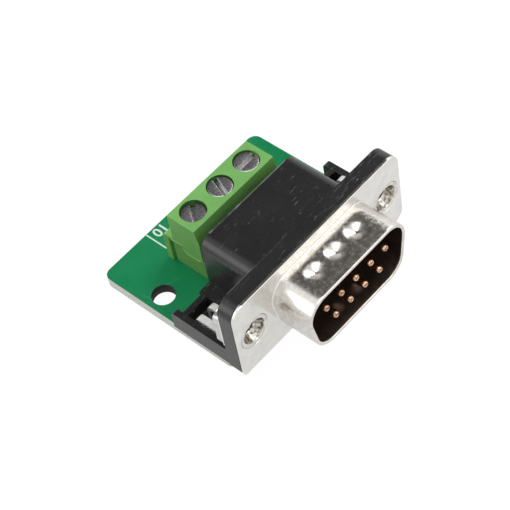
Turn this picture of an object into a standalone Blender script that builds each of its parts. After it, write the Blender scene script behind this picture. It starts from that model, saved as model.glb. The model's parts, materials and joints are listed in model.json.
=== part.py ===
"""Nine-way D-sub plug on a small circuit board, wired to a three-way screw terminal block.

Axes: +X to the right when facing the plug, -Y out of the plug's mouth, +Z up.
The origin lies under the middle of the part, at the level of the solder tails' tips.
"""
import math

import bmesh
import bpy
from mathutils import Matrix, Vector

MM = 0.001

# Clearances, how far a cutter passes the faces that it opens, and how near points merge
FIT = 0.05 * MM
SEAT = 0.02 * MM
BEYOND = 1.0 * MM
MERGE = 0.0001 * MM

# Plug: contacts and the insulator that carries them
PIN_PITCH = 2.77 * MM
ROW_SPACING = 2.84 * MM
PIN_DIAMETER = 1.0 * MM
PIN_RECESS = 0.3 * MM
WIRE_DIAMETER = 0.7 * MM
WIRE_BEND = 1.0 * MM
TOP_PINS = 5
BOTTOM_PINS = 4
INSULATOR_FACE = 0.6 * MM
INSULATOR_RIM = 0.3 * MM

# Plug: pressed steel shell, whose widths follow from its row of pins
PIN_MARGIN = 2.92 * MM
LOCK_MARGIN = 4.035 * MM
FLANGE_MARGIN = 2.905 * MM
MOUTH_WIDTH = (TOP_PINS - 1) * PIN_PITCH + 2 * PIN_MARGIN
LOCK_SPACING = MOUTH_WIDTH + 2 * LOCK_MARGIN
FLANGE_WIDTH = LOCK_SPACING + 2 * FLANGE_MARGIN
FLANGE_HEIGHT = 12.55 * MM
FLANGE_CORNER = 2.0 * MM
FLANGE_TIGHT_CORNER = 0.5 * MM
SHEET = 0.5 * MM
MOUTH_HEIGHT = 8.36 * MM
MOUTH_CORNER = 2.6 * MM
MOUTH_SLOPE = math.radians(10)
MOUTH_REACH = 6.0 * MM
BEND = 0.9 * MM
LIP_ROUND = 0.18 * MM
DIMPLE_PITCH = 3.75 * MM
DIMPLE_RADIUS = 1.4 * MM
DIMPLE_DEPTH = 0.34 * MM
DIMPLE_REACH = 2.8 * MM
DIMPLE_OVERCUT = 1.2
TOP_DIMPLES = 3
BOTTOM_DIMPLES = 2

# Plug: screw locks
LOCK_BORE = 2.85 * MM
LOCK_BARREL = 4.0 * MM
LOCK_HEAD = 4.7 * MM
LOCK_CHAMFER = 0.4 * MM
LOCK_LENGTH = 4.9 * MM
NUT_SIZE = 5.2 * MM
NUT_THICKNESS = 1.0 * MM
NUT_CORNER = 0.5 * MM

# Circuit board, a little narrower than the flange
BOARD_INSET = 0.6 * MM
BOARD_WIDTH = FLANGE_WIDTH - 2 * BOARD_INSET
BOARD_THICKNESS = 1.6 * MM
BOARD_SETBACK = 2.6 * MM
BOARD_DEPTH = 22.7 * MM
BOARD_CORNER = 1.2 * MM
MOUNT_HOLE = 3.2 * MM
MOUNT_HOLE_INSET = 2.4 * MM
MOUNT_HOLE_SPACING = BOARD_WIDTH - 2 * MOUNT_HOLE_INSET
MOUNT_HOLE_SETBACK = 16.7 * MM
TAIL_LENGTH = 1.5 * MM

# Bracket moulded in black plastic
BRACKET_FLANGE = 2.1 * MM
HOOD_ROOT = 0.3 * MM
HOOD_MARGIN = 0.39 * MM
HOOD_WIDTH = MOUTH_WIDTH + 2 * HOOD_MARGIN
HOOD_HEIGHT = 11.15 * MM
HOOD_BACK = 11.4 * MM
HOOD_ROUND = 1.8 * MM
HOOD_WALL = 0.8 * MM
LEDGE_WIDTH = 1.9 * MM
LEDGE_DROP = 0.575 * MM
WING_INSET = 0.25 * MM
WING_WIDTH = FLANGE_WIDTH - 2 * WING_INSET
WING_WALL = 0.95 * MM
WING_DROP = 0.725 * MM
WING_BACK = 12.2 * MM
WING_ROUND = 0.5 * MM
POCKET_BACK = 11.0 * MM
POCKET_WALL = 0.8 * MM
POCKET_FLOOR = 0.8 * MM

# Earthing straps, folded from sheet, which lock the bracket to the board
STRAP_SHEET = 0.5 * MM
PLATE_WIDTH = 5.2 * MM
FORK_WIDTH = 3.1 * MM
STRAP_BEND = 0.3 * MM
FORK_LINE = 8.8 * MM
FORK_SLOT = 1.2 * MM
FORK_ROOT = 6.1 * MM
FORK_HOLE = 3.4 * MM

# Clamps of the terminal block: a cage that rises round a fixed blade
CAGE_WIDTH = 3.7 * MM
CAGE_DEPTH = 3.2 * MM
CAGE_HEIGHT = 4.55 * MM
CAGE_LIFT = 0.3 * MM
CAGE_SIDE = 0.55 * MM
CAGE_TOP = 1.2 * MM
CAGE_TRAVEL = 2.1 * MM
CAGE_HEADROOM = 0.35 * MM
BLADE_WIDTH = 2.2 * MM
BLADE_THICKNESS = 0.5 * MM
BLADE_LIFT = CAGE_LIFT + CAGE_SIDE + CAGE_TRAVEL + FIT
BLADE_END_GAP = 0.3 * MM
TAIL_WIDTH = 1.0 * MM
TAIL_OVERLAP = 0.1 * MM

# Terminal block moulded in green plastic, whose wells stand over the risen cages
POLES = 3
POLE_PITCH = 5.0 * MM
SCREW_LINE = 16.3 * MM
WELL_DIAMETER = 3.6 * MM
WELL_DEPTH = 1.77 * MM
NECK_HEIGHT = 0.7 * MM
NECK_FIT = 0.1 * MM
WELL_SHOULDER = CAGE_LIFT + CAGE_HEIGHT + CAGE_TRAVEL + CAGE_HEADROOM + NECK_HEIGHT
BLOCK_FRONT = 13.45 * MM
BLOCK_HEIGHT = WELL_SHOULDER + WELL_DEPTH
BLOCK_CHAMFER_DEPTH = 0.5 * MM
BLOCK_CHAMFER_HEIGHT = 2.05 * MM
BLOCK_TOP_BACK = 18.5 * MM
BLOCK_BACK = 20.4 * MM
NOSE_HEIGHT = 5.1 * MM
NOSE_SLOPE = 0.5 * MM
CELL_WIDTH = 4.0 * MM
CELL_FRONT = 14.1 * MM
CELL_BACK = 18.9 * MM
CELL_WALL = 0.5 * MM
CELL_STEP = 0.9 * MM
ENTRY_WIDTH = 3.0 * MM
ENTRY_BOTTOM = 0.8 * MM
ENTRY_HEIGHT = 2.9 * MM
ENTRY_FLARE = 0.45 * MM
END_RECESS = 0.3 * MM
END_SLIT_WIDTH = 0.4 * MM
END_SLIT_DEPTH = 0.7 * MM
END_SLIT_LINE = 19.2 * MM
END_STEP_LINE = 16.85 * MM
END_DIP_LINE = 15.95 * MM
END_FRONT_HEIGHT = 3.9 * MM
END_DIP_HEIGHT = 3.6 * MM
END_STEP_HEIGHT = 4.15 * MM
END_PEAK_HEIGHT = 4.95 * MM
END_REAR_HEIGHT = 4.65 * MM

# Screws of the terminal block, which end a little above the blades
SCREW_HEAD = 3.3 * MM
SCREW_HEAD_HEIGHT = 1.3 * MM
SCREW_SHANK = 2.5 * MM
SCREW_TIP_GAP = 0.12 * MM
SCREW_LENGTH = WELL_SHOULDER + SEAT - BLADE_LIFT - BLADE_THICKNESS - SCREW_TIP_GAP
SCREW_EDGE = 0.15 * MM
SCREW_POINT = 0.3 * MM
SLOT_WIDTH = 0.65 * MM
SLOT_DEPTH = 0.8 * MM
SCREW_LIFTS = (0.0, 0.25 * MM, 0.25 * MM)
SLOT_TURNS = (math.radians(51), math.radians(70), math.radians(1))

# Solder
PAD_MARGIN = 0.55 * MM
SOLDER_HEIGHT = 0.9 * MM
LOCK_SOLDER_HEIGHT = 0.7 * MM
SOLDER_CREST = 0.08 * MM
HOLE_MARGIN = 0.15 * MM

# Sides of round forms and steps of curves
FINE_SIDES = 32
ROUND_SIDES = 24
PRESSED_SIDES = 16
SMALL_SIDES = 10
CORNER_STEPS = 6
FOLD_STEPS = 4
SHALLOW_STEPS = 3
EDGE_STEPS = 2

# Angles in degrees below which an edge is shaded smooth
SOFT_BELOW = 35
COARSE_SOFT_BELOW = 50

# Datums: the flange's front face, the board's upper face and the plug's centre line
FLANGE_FRONT = (MOUTH_REACH - BOARD_SETBACK - BOARD_DEPTH) / 2
BOARD_TOP = TAIL_LENGTH + BOARD_THICKNESS
BOARD_UNDERSIDE = TAIL_LENGTH
BRACKET_BOTTOM = BOARD_TOP + SEAT
AXIS = BRACKET_BOTTOM + FLANGE_HEIGHT / 2
BRACKET_FRONT = FLANGE_FRONT + SHEET + SEAT
BRACKET_BACK = BRACKET_FRONT + BRACKET_FLANGE
SCREW_Y = FLANGE_FRONT + SCREW_LINE
FORK_Y = FLANGE_FRONT + FORK_LINE
ROW_NEAR = FORK_Y - ROW_SPACING / 2
ROW_FAR = FORK_Y + ROW_SPACING / 2
INSULATOR_REAR = BRACKET_BACK - HOOD_ROOT - SEAT
NUT_BOTTOM = AXIS - NUT_SIZE / 2
LEDGE_TOP = NUT_BOTTOM - LEDGE_DROP
WING_TOP = NUT_BOTTOM - WING_DROP
STRAP_LEVEL = NUT_BOTTOM - SEAT - STRAP_BEND

PLACES = {
    "X": lambda u, v, w: Vector((w, u, v)),
    "Y": lambda u, v, w: Vector((u, w, v)),
    "Z": lambda u, v, w: Vector((u, v, w)),
}


def clear_scene():
    """Remove every object of the open scene."""
    for item in list(bpy.data.objects):
        bpy.data.objects.remove(item, do_unlink=True)


def material(name, colour, roughness, metallic=0.0):
    """Return a plain material with a colour, a roughness and a metallic value."""
    made = bpy.data.materials.new(name)
    made.use_nodes = True
    shader = made.node_tree.nodes["Principled BSDF"]
    shader.inputs["Base Color"].default_value = (*colour, 1.0)
    shader.inputs["Roughness"].default_value = roughness
    shader.inputs["Metallic"].default_value = metallic
    made.diffuse_color = (*colour, 1.0)
    return made


def finish(name, form, finish_material, smooth=None):
    """Turn a bmesh into a named object with its material."""
    mesh = bpy.data.meshes.new(name)
    form.to_mesh(mesh)
    form.free()
    mesh.materials.append(finish_material)
    if smooth is not None:
        mesh.shade_smooth()
        mesh.set_sharp_from_angle(angle=math.radians(smooth))
    made = bpy.data.objects.new(name, mesh)
    bpy.context.collection.objects.link(made)
    return made


def set_origin(item, point):
    """Move an object's origin to a point and leave its shape where it is."""
    item.data.transform(item.matrix_world.inverted())
    for vertex in item.data.vertices:
        vertex.co -= Vector(point)
    item.location = point


def combine(base, tool, operation):
    """Unite or cut one object with another, which is then removed."""
    step = base.modifiers.new(operation, "BOOLEAN")
    step.operation = operation
    step.solver = "EXACT"
    step.object = tool
    graph = bpy.context.evaluated_depsgraph_get()
    result = bpy.data.meshes.new_from_object(base.evaluated_get(graph))
    base.modifiers.remove(step)
    old = base.data
    base.data = result
    result.name = base.name
    bpy.data.meshes.remove(old)
    bpy.data.objects.remove(tool, do_unlink=True)


def circle(x, y, radius, sides):
    """Return the corners of a regular outline round a centre."""
    turns = [2 * math.pi * (i + 0.5) / sides for i in range(sides)]
    return [(x + radius * math.cos(t), y + radius * math.sin(t)) for t in turns]


def arc(x, y, radius, start, end, steps):
    """Return points along an arc, with angles in degrees."""
    turns = [math.radians(start + (end - start) * i / steps) for i in range(steps + 1)]
    return [(x + radius * math.cos(t), y + radius * math.sin(t)) for t in turns]


def rectangle(left, right, low, high):
    """Return the four corners of a rectangle."""
    return [(left, low), (right, low), (right, high), (left, high)]


def rounded_rectangle(centre_x, centre_y, width, height, radius, steps=CORNER_STEPS, lower_left=None):
    """Return a rectangle's outline with round corners, the lower left with a radius of its own."""
    radii = (radius, radius, lower_left or radius, radius)
    points = []
    for corner, (sx, sy, own) in enumerate(zip((1, -1, -1, 1), (1, 1, -1, -1), radii)):
        x = centre_x + sx * (width / 2 - own)
        y = centre_y + sy * (height / 2 - own)
        points += arc(x, y, own, 90 * corner, 90 * corner + 90, steps)
    return points


def flange_outline():
    """Return the outline that the shell's flange shares with the bracket behind it."""
    return rounded_rectangle(
        0, AXIS, FLANGE_WIDTH, FLANGE_HEIGHT, FLANGE_CORNER, lower_left=FLANGE_TIGHT_CORNER
    )


def mouth_outline(offset, steps=CORNER_STEPS):
    """Return the plug's D outline, grown by an offset, round the centre line."""
    radius = MOUTH_CORNER + offset
    high = MOUTH_HEIGHT / 2 - MOUTH_CORNER
    top_x = MOUTH_WIDTH / 2 - MOUTH_CORNER
    bottom_x = top_x - 2 * high * math.tan(MOUTH_SLOPE)
    slope = math.degrees(MOUTH_SLOPE)
    points = arc(top_x, AXIS + high, radius, -slope, 90, steps)
    points += arc(-top_x, AXIS + high, radius, 90, 180 + slope, steps)
    points += arc(-bottom_x, AXIS - high, radius, 180 + slope, 270, steps)
    points += arc(bottom_x, AXIS - high, radius, 270, 360 - slope, steps)
    return points


def pin_places():
    """Return each pin's number, X, height over the centre line and tail row."""
    places = []
    for i in range(TOP_PINS):
        places.append((i + 1, (i - (TOP_PINS - 1) / 2) * PIN_PITCH, ROW_SPACING / 2, ROW_FAR))
    for i in range(BOTTOM_PINS):
        number = TOP_PINS + 1 + i
        places.append((number, (i - (BOTTOM_PINS - 1) / 2) * PIN_PITCH, -ROW_SPACING / 2, ROW_NEAR))
    return places


def pole_places():
    """Return each pole's number and X."""
    return [(i + 1, (i - (POLES - 1) / 2) * POLE_PITCH) for i in range(POLES)]


def add_loop(form, points):
    """Add a closed loop of corners and return them."""
    corners = [form.verts.new(p) for p in points]
    for a, b in zip(corners, corners[1:] + corners[:1]):
        form.edges.new((a, b))
    return corners


def skin(form, near, far):
    """Join two loops of as many corners with a band of faces."""
    for i, corner in enumerate(near):
        form.faces.new((near[i - 1], corner, far[i], far[i - 1]))


def cap(form, loops):
    """Fill a flat outline, less the holes in it, with faces."""
    inside = {corner for loop in loops for corner in loop}
    edges = [e for e in form.edges if e.verts[0] in inside and e.verts[1] in inside]
    bmesh.ops.triangle_fill(form, use_beauty=True, edges=edges)


def prism(axis, start, end, outline, holes=()):
    """Return an outline with its holes, drawn out along an axis."""
    form = bmesh.new()
    place = PLACES[axis]
    cap(form, [add_loop(form, [place(u, v, start) for u, v in loop]) for loop in (outline, *holes)])
    region = bmesh.ops.extrude_face_region(form, geom=form.faces[:])
    moved = [item for item in region["geom"] if isinstance(item, bmesh.types.BMVert)]
    bmesh.ops.translate(form, verts=moved, vec=place(0, 0, end) - place(0, 0, start))
    bmesh.ops.recalc_face_normals(form, faces=form.faces[:])
    return form


def box(left, right, front, back, low, high):
    """Return a plain block between its six faces."""
    return prism("Z", low, high, rectangle(left, right, front, back))


def loft(rings):
    """Return a skin through rings of points, closed at both ends."""
    form = bmesh.new()
    loops = [add_loop(form, ring) for ring in rings]
    for near, far in zip(loops, loops[1:]):
        skin(form, near, far)
    cap(form, loops[:1])
    cap(form, loops[-1:])
    bmesh.ops.recalc_face_normals(form, faces=form.faces[:])
    return form


def sleeve(stations, bores):
    """Return D outlines joined along Y, with bores through from the first to the last.

    Each station is an outline's offset and its Y, and each bore is the pair of its end loops.
    """
    form = bmesh.new()
    loops = [
        add_loop(form, [Vector((x, y, z)) for x, z in mouth_outline(offset)])
        for offset, y in stations
    ]
    for near, far in zip(loops, loops[1:]):
        skin(form, near, far)
    ends = [[loops[0]], [loops[-1]]]
    end_places = (stations[0][1], stations[-1][1])
    for bore in bores:
        pair = [
            add_loop(form, [Vector((u, y, v)) for u, v in loop])
            for loop, y in zip(bore, end_places)
        ]
        skin(form, *pair)
        for end, loop in zip(ends, pair):
            end.append(loop)
    for end in ends:
        cap(form, end)
    bmesh.ops.recalc_face_normals(form, faces=form.faces[:])
    return form


def turned(axis, centre, profile, sides):
    """Return a profile of (radius, place) pairs turned round an axis.

    A profile that starts and ends on the axis stays open there, and any other is closed.
    """
    form = bmesh.new()
    place = PLACES[axis]
    u, v = centre
    corners = [form.verts.new(place(u + radius, v, along)) for radius, along in profile]
    ends = zip(corners, corners[1:]) if profile[0][0] == 0 else zip(corners, corners[1:] + corners[:1])
    edges = [form.edges.new(pair) for pair in ends]
    middle = place(u, v, 0)
    direction = place(0, 0, 1)
    half_step = Matrix.Rotation(math.pi / sides, 3, direction)
    bmesh.ops.rotate(form, verts=corners, cent=middle, matrix=half_step)
    bmesh.ops.spin(
        form, geom=corners + edges, cent=middle, axis=direction,
        angle=2 * math.pi, steps=sides, use_merge=True,
    )
    bmesh.ops.remove_doubles(form, verts=form.verts[:], dist=MERGE)
    bmesh.ops.recalc_face_normals(form, faces=form.faces[:])
    return form


def rounded_path(points, radius, steps=FOLD_STEPS):
    """Return a flat path with its inner corners rounded."""
    path = [Vector(points[0])]
    for before, corner, after in zip(points, points[1:], points[2:]):
        corner = Vector(corner)
        way_in = (Vector(before) - corner).normalized()
        way_out = (Vector(after) - corner).normalized()
        half = way_in.angle(way_out) / 2
        reach = radius / math.tan(half)
        centre = corner + (way_in + way_out).normalized() * radius / math.sin(half)
        first = (corner + way_in * reach - centre).normalized()
        last = (corner + way_out * reach - centre).normalized()
        for i in range(steps + 1):
            path.append(centre + first.slerp(last, i / steps) * radius)
    path.append(Vector(points[-1]))
    return path


def wire(path, radii, sides):
    """Return a round bar along a path in a plane of constant X."""
    rings = []
    for i, (point, radius) in enumerate(zip(path, radii)):
        before = path[max(i - 1, 0)]
        after = path[min(i + 1, len(path) - 1)]
        ahead = (after - before).normalized()
        across = Vector((1, 0, 0))
        over = ahead.cross(across)
        turns = [2 * math.pi * (k + 0.5) / sides for k in range(sides)]
        rings.append([point + radius * (math.cos(t) * across + math.sin(t) * over) for t in turns])
    return loft(rings)


def ribbon(path, thickness):
    """Return the outline of a strip of sheet along a flat path."""
    left, right = [], []
    for i, point in enumerate(path):
        before = path[max(i - 1, 0)]
        after = path[min(i + 1, len(path) - 1)]
        ahead = (after - before).normalized()
        side = Vector((-ahead.y, ahead.x)) * thickness / 2
        left.append(tuple(point + side))
        right.append(tuple(point - side))
    return left + right[::-1]


def dsub_shell(steel):
    """Press the plug's shell from sheet: a flange, a D-shaped mouth and its dimples."""
    front, back, lip = FLANGE_FRONT, FLANGE_FRONT + SHEET, FLANGE_FRONT - MOUTH_REACH
    outer = arc(SHEET + BEND, front - BEND, BEND, 90, 180, FOLD_STEPS)
    rim = arc(SHEET - LIP_ROUND, lip + LIP_ROUND, LIP_ROUND, 0, -90, EDGE_STEPS)
    rim += arc(LIP_ROUND, lip + LIP_ROUND, LIP_ROUND, -90, -180, EDGE_STEPS)
    inner = arc(BEND + SHEET, front - BEND, BEND + SHEET, 180, 90, FOLD_STEPS)
    bores = [(flange_outline(), flange_outline())]
    for side in (-1, 1):
        x = side * LOCK_SPACING / 2
        flare = circle(x, AXIS, LOCK_HEAD / 2 + FIT, ROUND_SIDES)
        bores.append((flare, circle(x, AXIS, LOCK_BARREL / 2 + SEAT, ROUND_SIDES)))
    shell = finish("dsub_shell", sleeve(outer + rim + inner, bores), steel, smooth=SOFT_BELOW)
    top = AXIS + MOUTH_HEIGHT / 2 + SHEET
    bottom = AXIS - MOUTH_HEIGHT / 2 - SHEET
    for count, face, up in ((TOP_DIMPLES, top, 1), (BOTTOM_DIMPLES, bottom, -1)):
        for i in range(count):
            dimple(shell, (i - (count - 1) / 2) * DIMPLE_PITCH, face, up, steel)
    return shell


def dimple(shell, x, face, up, steel):
    """Press one round dimple into the mouth's top or bottom wall."""
    radius = (DIMPLE_RADIUS ** 2 + DIMPLE_DEPTH ** 2) / (2 * DIMPLE_DEPTH)
    spread = math.degrees(math.asin(DIMPLE_RADIUS / radius))
    centre = face + up * (radius - DIMPLE_DEPTH)
    y = FLANGE_FRONT - DIMPLE_REACH
    wide = math.degrees(math.asin(DIMPLE_RADIUS / radius * DIMPLE_OVERCUT))
    for step, ball, reach in (("UNION", radius + SHEET, spread), ("DIFFERENCE", radius, wide)):
        profile = [(r, centre - up * depth) for depth, r in arc(0, 0, ball, 0, reach, SHALLOW_STEPS)]
        profile[0] = (0, profile[0][1])
        profile.append((0, profile[-1][1]))
        tool = finish(step, turned("Z", (x, y), profile, PRESSED_SIDES), steel, smooth=SOFT_BELOW)
        combine(shell, tool, step)


def dsub_insulator(plastic):
    """Mould the insulator: a D-shaped boss, a rim behind the shell and nine pin holes."""
    front, step = FLANGE_FRONT - INSULATOR_FACE, FLANGE_FRONT + SHEET + SEAT
    stations = [(-FIT, front), (-FIT, step), (INSULATOR_RIM, step), (INSULATOR_RIM, INSULATOR_REAR)]
    holes = [
        circle(x, AXIS + height, PIN_DIAMETER / 2 + SEAT, SMALL_SIDES)
        for _, x, height, _ in pin_places()
    ]
    form = sleeve(stations, [(hole, hole) for hole in holes])
    return finish("dsub_insulator", form, plastic, smooth=SOFT_BELOW)


def hood_profile(inset):
    """Return the hood's cross-section, open at the board, grown inwards by a wall."""
    half = HOOD_WIDTH / 2 - inset
    top = BRACKET_BOTTOM + HOOD_HEIGHT - inset
    radius = HOOD_ROUND - inset
    right = arc(half - radius, top - radius, radius, 0, 90, 2 * CORNER_STEPS)
    left = arc(radius - half, top - radius, radius, 90, 180, 2 * CORNER_STEPS)
    return right + left


def bracket(plastic):
    """Mould the bracket: a flange behind the shell, a hood over the pins and two wings."""
    holes = [circle(side * LOCK_SPACING / 2, AXIS, LOCK_BARREL / 2 + FIT, ROUND_SIDES) for side in (-1, 1)]
    holes.append(mouth_outline(INSULATOR_RIM + FIT))
    flange = prism("Y", BRACKET_FRONT, BRACKET_BACK, flange_outline(), holes)
    body = finish("bracket", flange, plastic, smooth=SOFT_BELOW)

    low = BRACKET_BOTTOM
    wing = WING_WIDTH / 2
    pocket = wing - WING_WALL
    ledge = HOOD_WIDTH / 2 + LEDGE_WIDTH
    half = [
        (wing, low), (wing, WING_TOP), (pocket, WING_TOP), (pocket, low + POCKET_FLOOR),
        (ledge, low + POCKET_FLOOR), (ledge, LEDGE_TOP), (HOOD_WIDTH / 2, LEDGE_TOP),
    ]
    section = half + hood_profile(0) + [(-x, z) for x, z in reversed(half)]
    root = BRACKET_BACK - HOOD_ROOT
    hood_end = FLANGE_FRONT + HOOD_BACK
    combine(body, finish("section", prism("Y", root, hood_end, section), plastic), "UNION")

    pocket_end = FLANGE_FRONT + POCKET_BACK
    wing_end = FLANGE_FRONT + WING_BACK
    side_view = [(root, low), (wing_end, low)]
    bend_y, bend_z = wing_end - WING_ROUND, WING_TOP - WING_ROUND
    side_view += arc(bend_y, bend_z, WING_ROUND, 0, 90, CORNER_STEPS)
    side_view.append((root, WING_TOP))
    for side in (-1, 1):
        inner, outer = sorted((side * pocket, side * wing))
        combine(body, finish("wall", prism("X", inner, outer, side_view), plastic), "UNION")
        left, right = sorted((side * (ledge + FIT), side * (pocket - FIT)))
        beyond = box(left - FIT, right + FIT, pocket_end, hood_end + FIT, low - FIT, low + POCKET_FLOOR + FIT)
        combine(body, finish("beyond", beyond, plastic), "DIFFERENCE")
        left, right = sorted((side * (ledge - FIT), side * (pocket + FIT)))
        rear = box(left, right, pocket_end - POCKET_WALL, pocket_end, low, WING_TOP)
        combine(body, finish("rear", rear, plastic), "UNION")
        middle = side * LOCK_SPACING / 2
        reach = FORK_WIDTH / 2 + FIT
        depth = STRAP_SHEET / 2 + FIT
        sides = (middle - reach, middle + reach)
        passage = box(*sides, FORK_Y - depth, FORK_Y + depth, low - FIT, low + POCKET_FLOOR + FIT)
        combine(body, finish("passage", passage, plastic), "DIFFERENCE")
    inner = hood_profile(HOOD_WALL)
    inner += [(inner[-1][0], low - FIT), (inner[0][0], low - FIT)]
    cavity = prism("Y", root - FIT, hood_end - HOOD_WALL, inner)
    combine(body, finish("cavity", cavity, plastic), "DIFFERENCE")
    return body


def pin(number, x, height, row, brass):
    """Draw one right-angled pin: a round-nosed contact stepping down to a bent wire tail."""
    z = AXIS + height
    nose = PIN_DIAMETER / 2
    tip = FLANGE_FRONT - MOUTH_REACH + PIN_RECESS
    shoulder = INSULATOR_REAR - FIT
    turns = [math.pi / 2 * i / (FOLD_STEPS - 0.5) for i in range(FOLD_STEPS)]
    path = [Vector((x, tip + nose * (1 - math.sin(t)), z)) for t in turns]
    radii = [nose * math.cos(t) for t in turns]
    path.reverse()
    radii.reverse()
    path.append(Vector((x, shoulder, z)))
    radii.append(nose)
    wire_start = Vector((x, shoulder + FIT, z))
    bend = rounded_path([wire_start, Vector((x, row, z)), Vector((x, row, 0))], WIRE_BEND, CORNER_STEPS)
    path += bend
    radii += [WIRE_DIAMETER / 2] * len(bend)
    return finish(f"pin_{number}", wire(path, radii, SMALL_SIDES), brass, smooth=SOFT_BELOW)


def lock_insert(name, side, steel):
    """Turn one threaded insert, whose tapered head lies flush in the shell's flange."""
    front = FLANGE_FRONT + SEAT
    end = FLANGE_FRONT + LOCK_LENGTH
    bore, barrel = LOCK_BORE / 2, LOCK_BARREL / 2
    profile = [
        (bore, front + LOCK_CHAMFER), (bore + LOCK_CHAMFER, front), (LOCK_HEAD / 2, front),
        (barrel, FLANGE_FRONT + SHEET), (barrel, end), (bore, end),
    ]
    form = turned("Y", (side * LOCK_SPACING / 2, AXIS), profile, ROUND_SIDES)
    return finish(name, form, steel, smooth=SOFT_BELOW)


def plate_front():
    """Return the Y where the straps' plates stand against the bracket."""
    return BRACKET_BACK + FIT


def lock_nut(name, side, steel):
    """Cut one square nut, which holds the insert and the strap against the bracket."""
    middle = side * LOCK_SPACING / 2
    front = plate_front() + STRAP_SHEET + SEAT
    outline = rounded_rectangle(middle, AXIS, NUT_SIZE, NUT_SIZE, NUT_CORNER, EDGE_STEPS)
    bore = circle(middle, AXIS, LOCK_BARREL / 2 + SEAT, ROUND_SIDES)
    form = prism("Y", front, front + NUT_THICKNESS, outline, [bore])
    return finish(name, form, steel, smooth=COARSE_SOFT_BELOW)


def earth_strap(name, side, steel):
    """Fold one strap: a plate round the insert and a fork whose legs pass through the board."""
    middle = side * LOCK_SPACING / 2
    plate_y = plate_front() + STRAP_SHEET / 2
    fork_z = STRAP_LEVEL - STRAP_SHEET / 2
    path = [(plate_y, AXIS + PLATE_WIDTH / 2), (plate_y, fork_z), (FORK_Y, fork_z), (FORK_Y, 0)]
    centre_line = rounded_path([Vector(point) for point in path], STRAP_BEND + STRAP_SHEET / 2)
    half = PLATE_WIDTH / 2
    strap = finish(name, prism("X", middle - half, middle + half, ribbon(centre_line, STRAP_SHEET)), steel)
    for left, right in ((-half - FIT, -FORK_WIDTH / 2), (FORK_WIDTH / 2, half + FIT)):
        sides = (middle + left, middle + right)
        waist = box(*sides, BRACKET_BACK, FORK_Y + BEYOND, -BEYOND, STRAP_LEVEL + STRAP_BEND)
        combine(strap, finish("waist", waist, steel), "DIFFERENCE")
    radius = LOCK_BARREL / 2 + SEAT
    ends = (plate_y - STRAP_SHEET, plate_y + STRAP_SHEET)
    hole = [(0, ends[0]), (radius, ends[0]), (radius, ends[1]), (0, ends[1])]
    combine(strap, finish("hole", turned("Y", (middle, AXIS), hole, ROUND_SIDES), steel), "DIFFERENCE")
    root = FLANGE_FRONT + FORK_ROOT
    sides = (middle - FORK_SLOT / 2, middle + FORK_SLOT / 2)
    slot = box(*sides, root, FORK_Y + BEYOND, -BEYOND, STRAP_LEVEL + BEYOND)
    combine(strap, finish("slot", slot, steel), "DIFFERENCE")
    return strap


def board(laminate):
    """Cut the board to its outline and drill it."""
    middle = FLANGE_FRONT + BOARD_SETBACK + BOARD_DEPTH / 2
    outline = rounded_rectangle(0, middle, BOARD_WIDTH, BOARD_DEPTH, BOARD_CORNER)
    holes = []
    for side in (-1, 1):
        hole_y = FLANGE_FRONT + MOUNT_HOLE_SETBACK
        holes.append(circle(side * MOUNT_HOLE_SPACING / 2, hole_y, MOUNT_HOLE / 2, ROUND_SIDES))
        holes.append(circle(side * LOCK_SPACING / 2, FORK_Y, FORK_HOLE / 2, ROUND_SIDES))
    for _, x, _, row in pin_places():
        holes.append(circle(x, row, WIRE_DIAMETER / 2 + HOLE_MARGIN, SMALL_SIDES))
    tail_reach = math.hypot(TAIL_WIDTH, BLADE_THICKNESS) / 2
    for _, x in pole_places():
        holes.append(circle(x, tail_y(), tail_reach + HOLE_MARGIN, SMALL_SIDES))
    return finish("board", prism("Z", BOARD_UNDERSIDE, BOARD_TOP, outline, holes), laminate)


def tail_y():
    """Return the line of the terminal block's tails."""
    return FLANGE_FRONT + CELL_FRONT + FIT + BLADE_THICKNESS / 2


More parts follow.
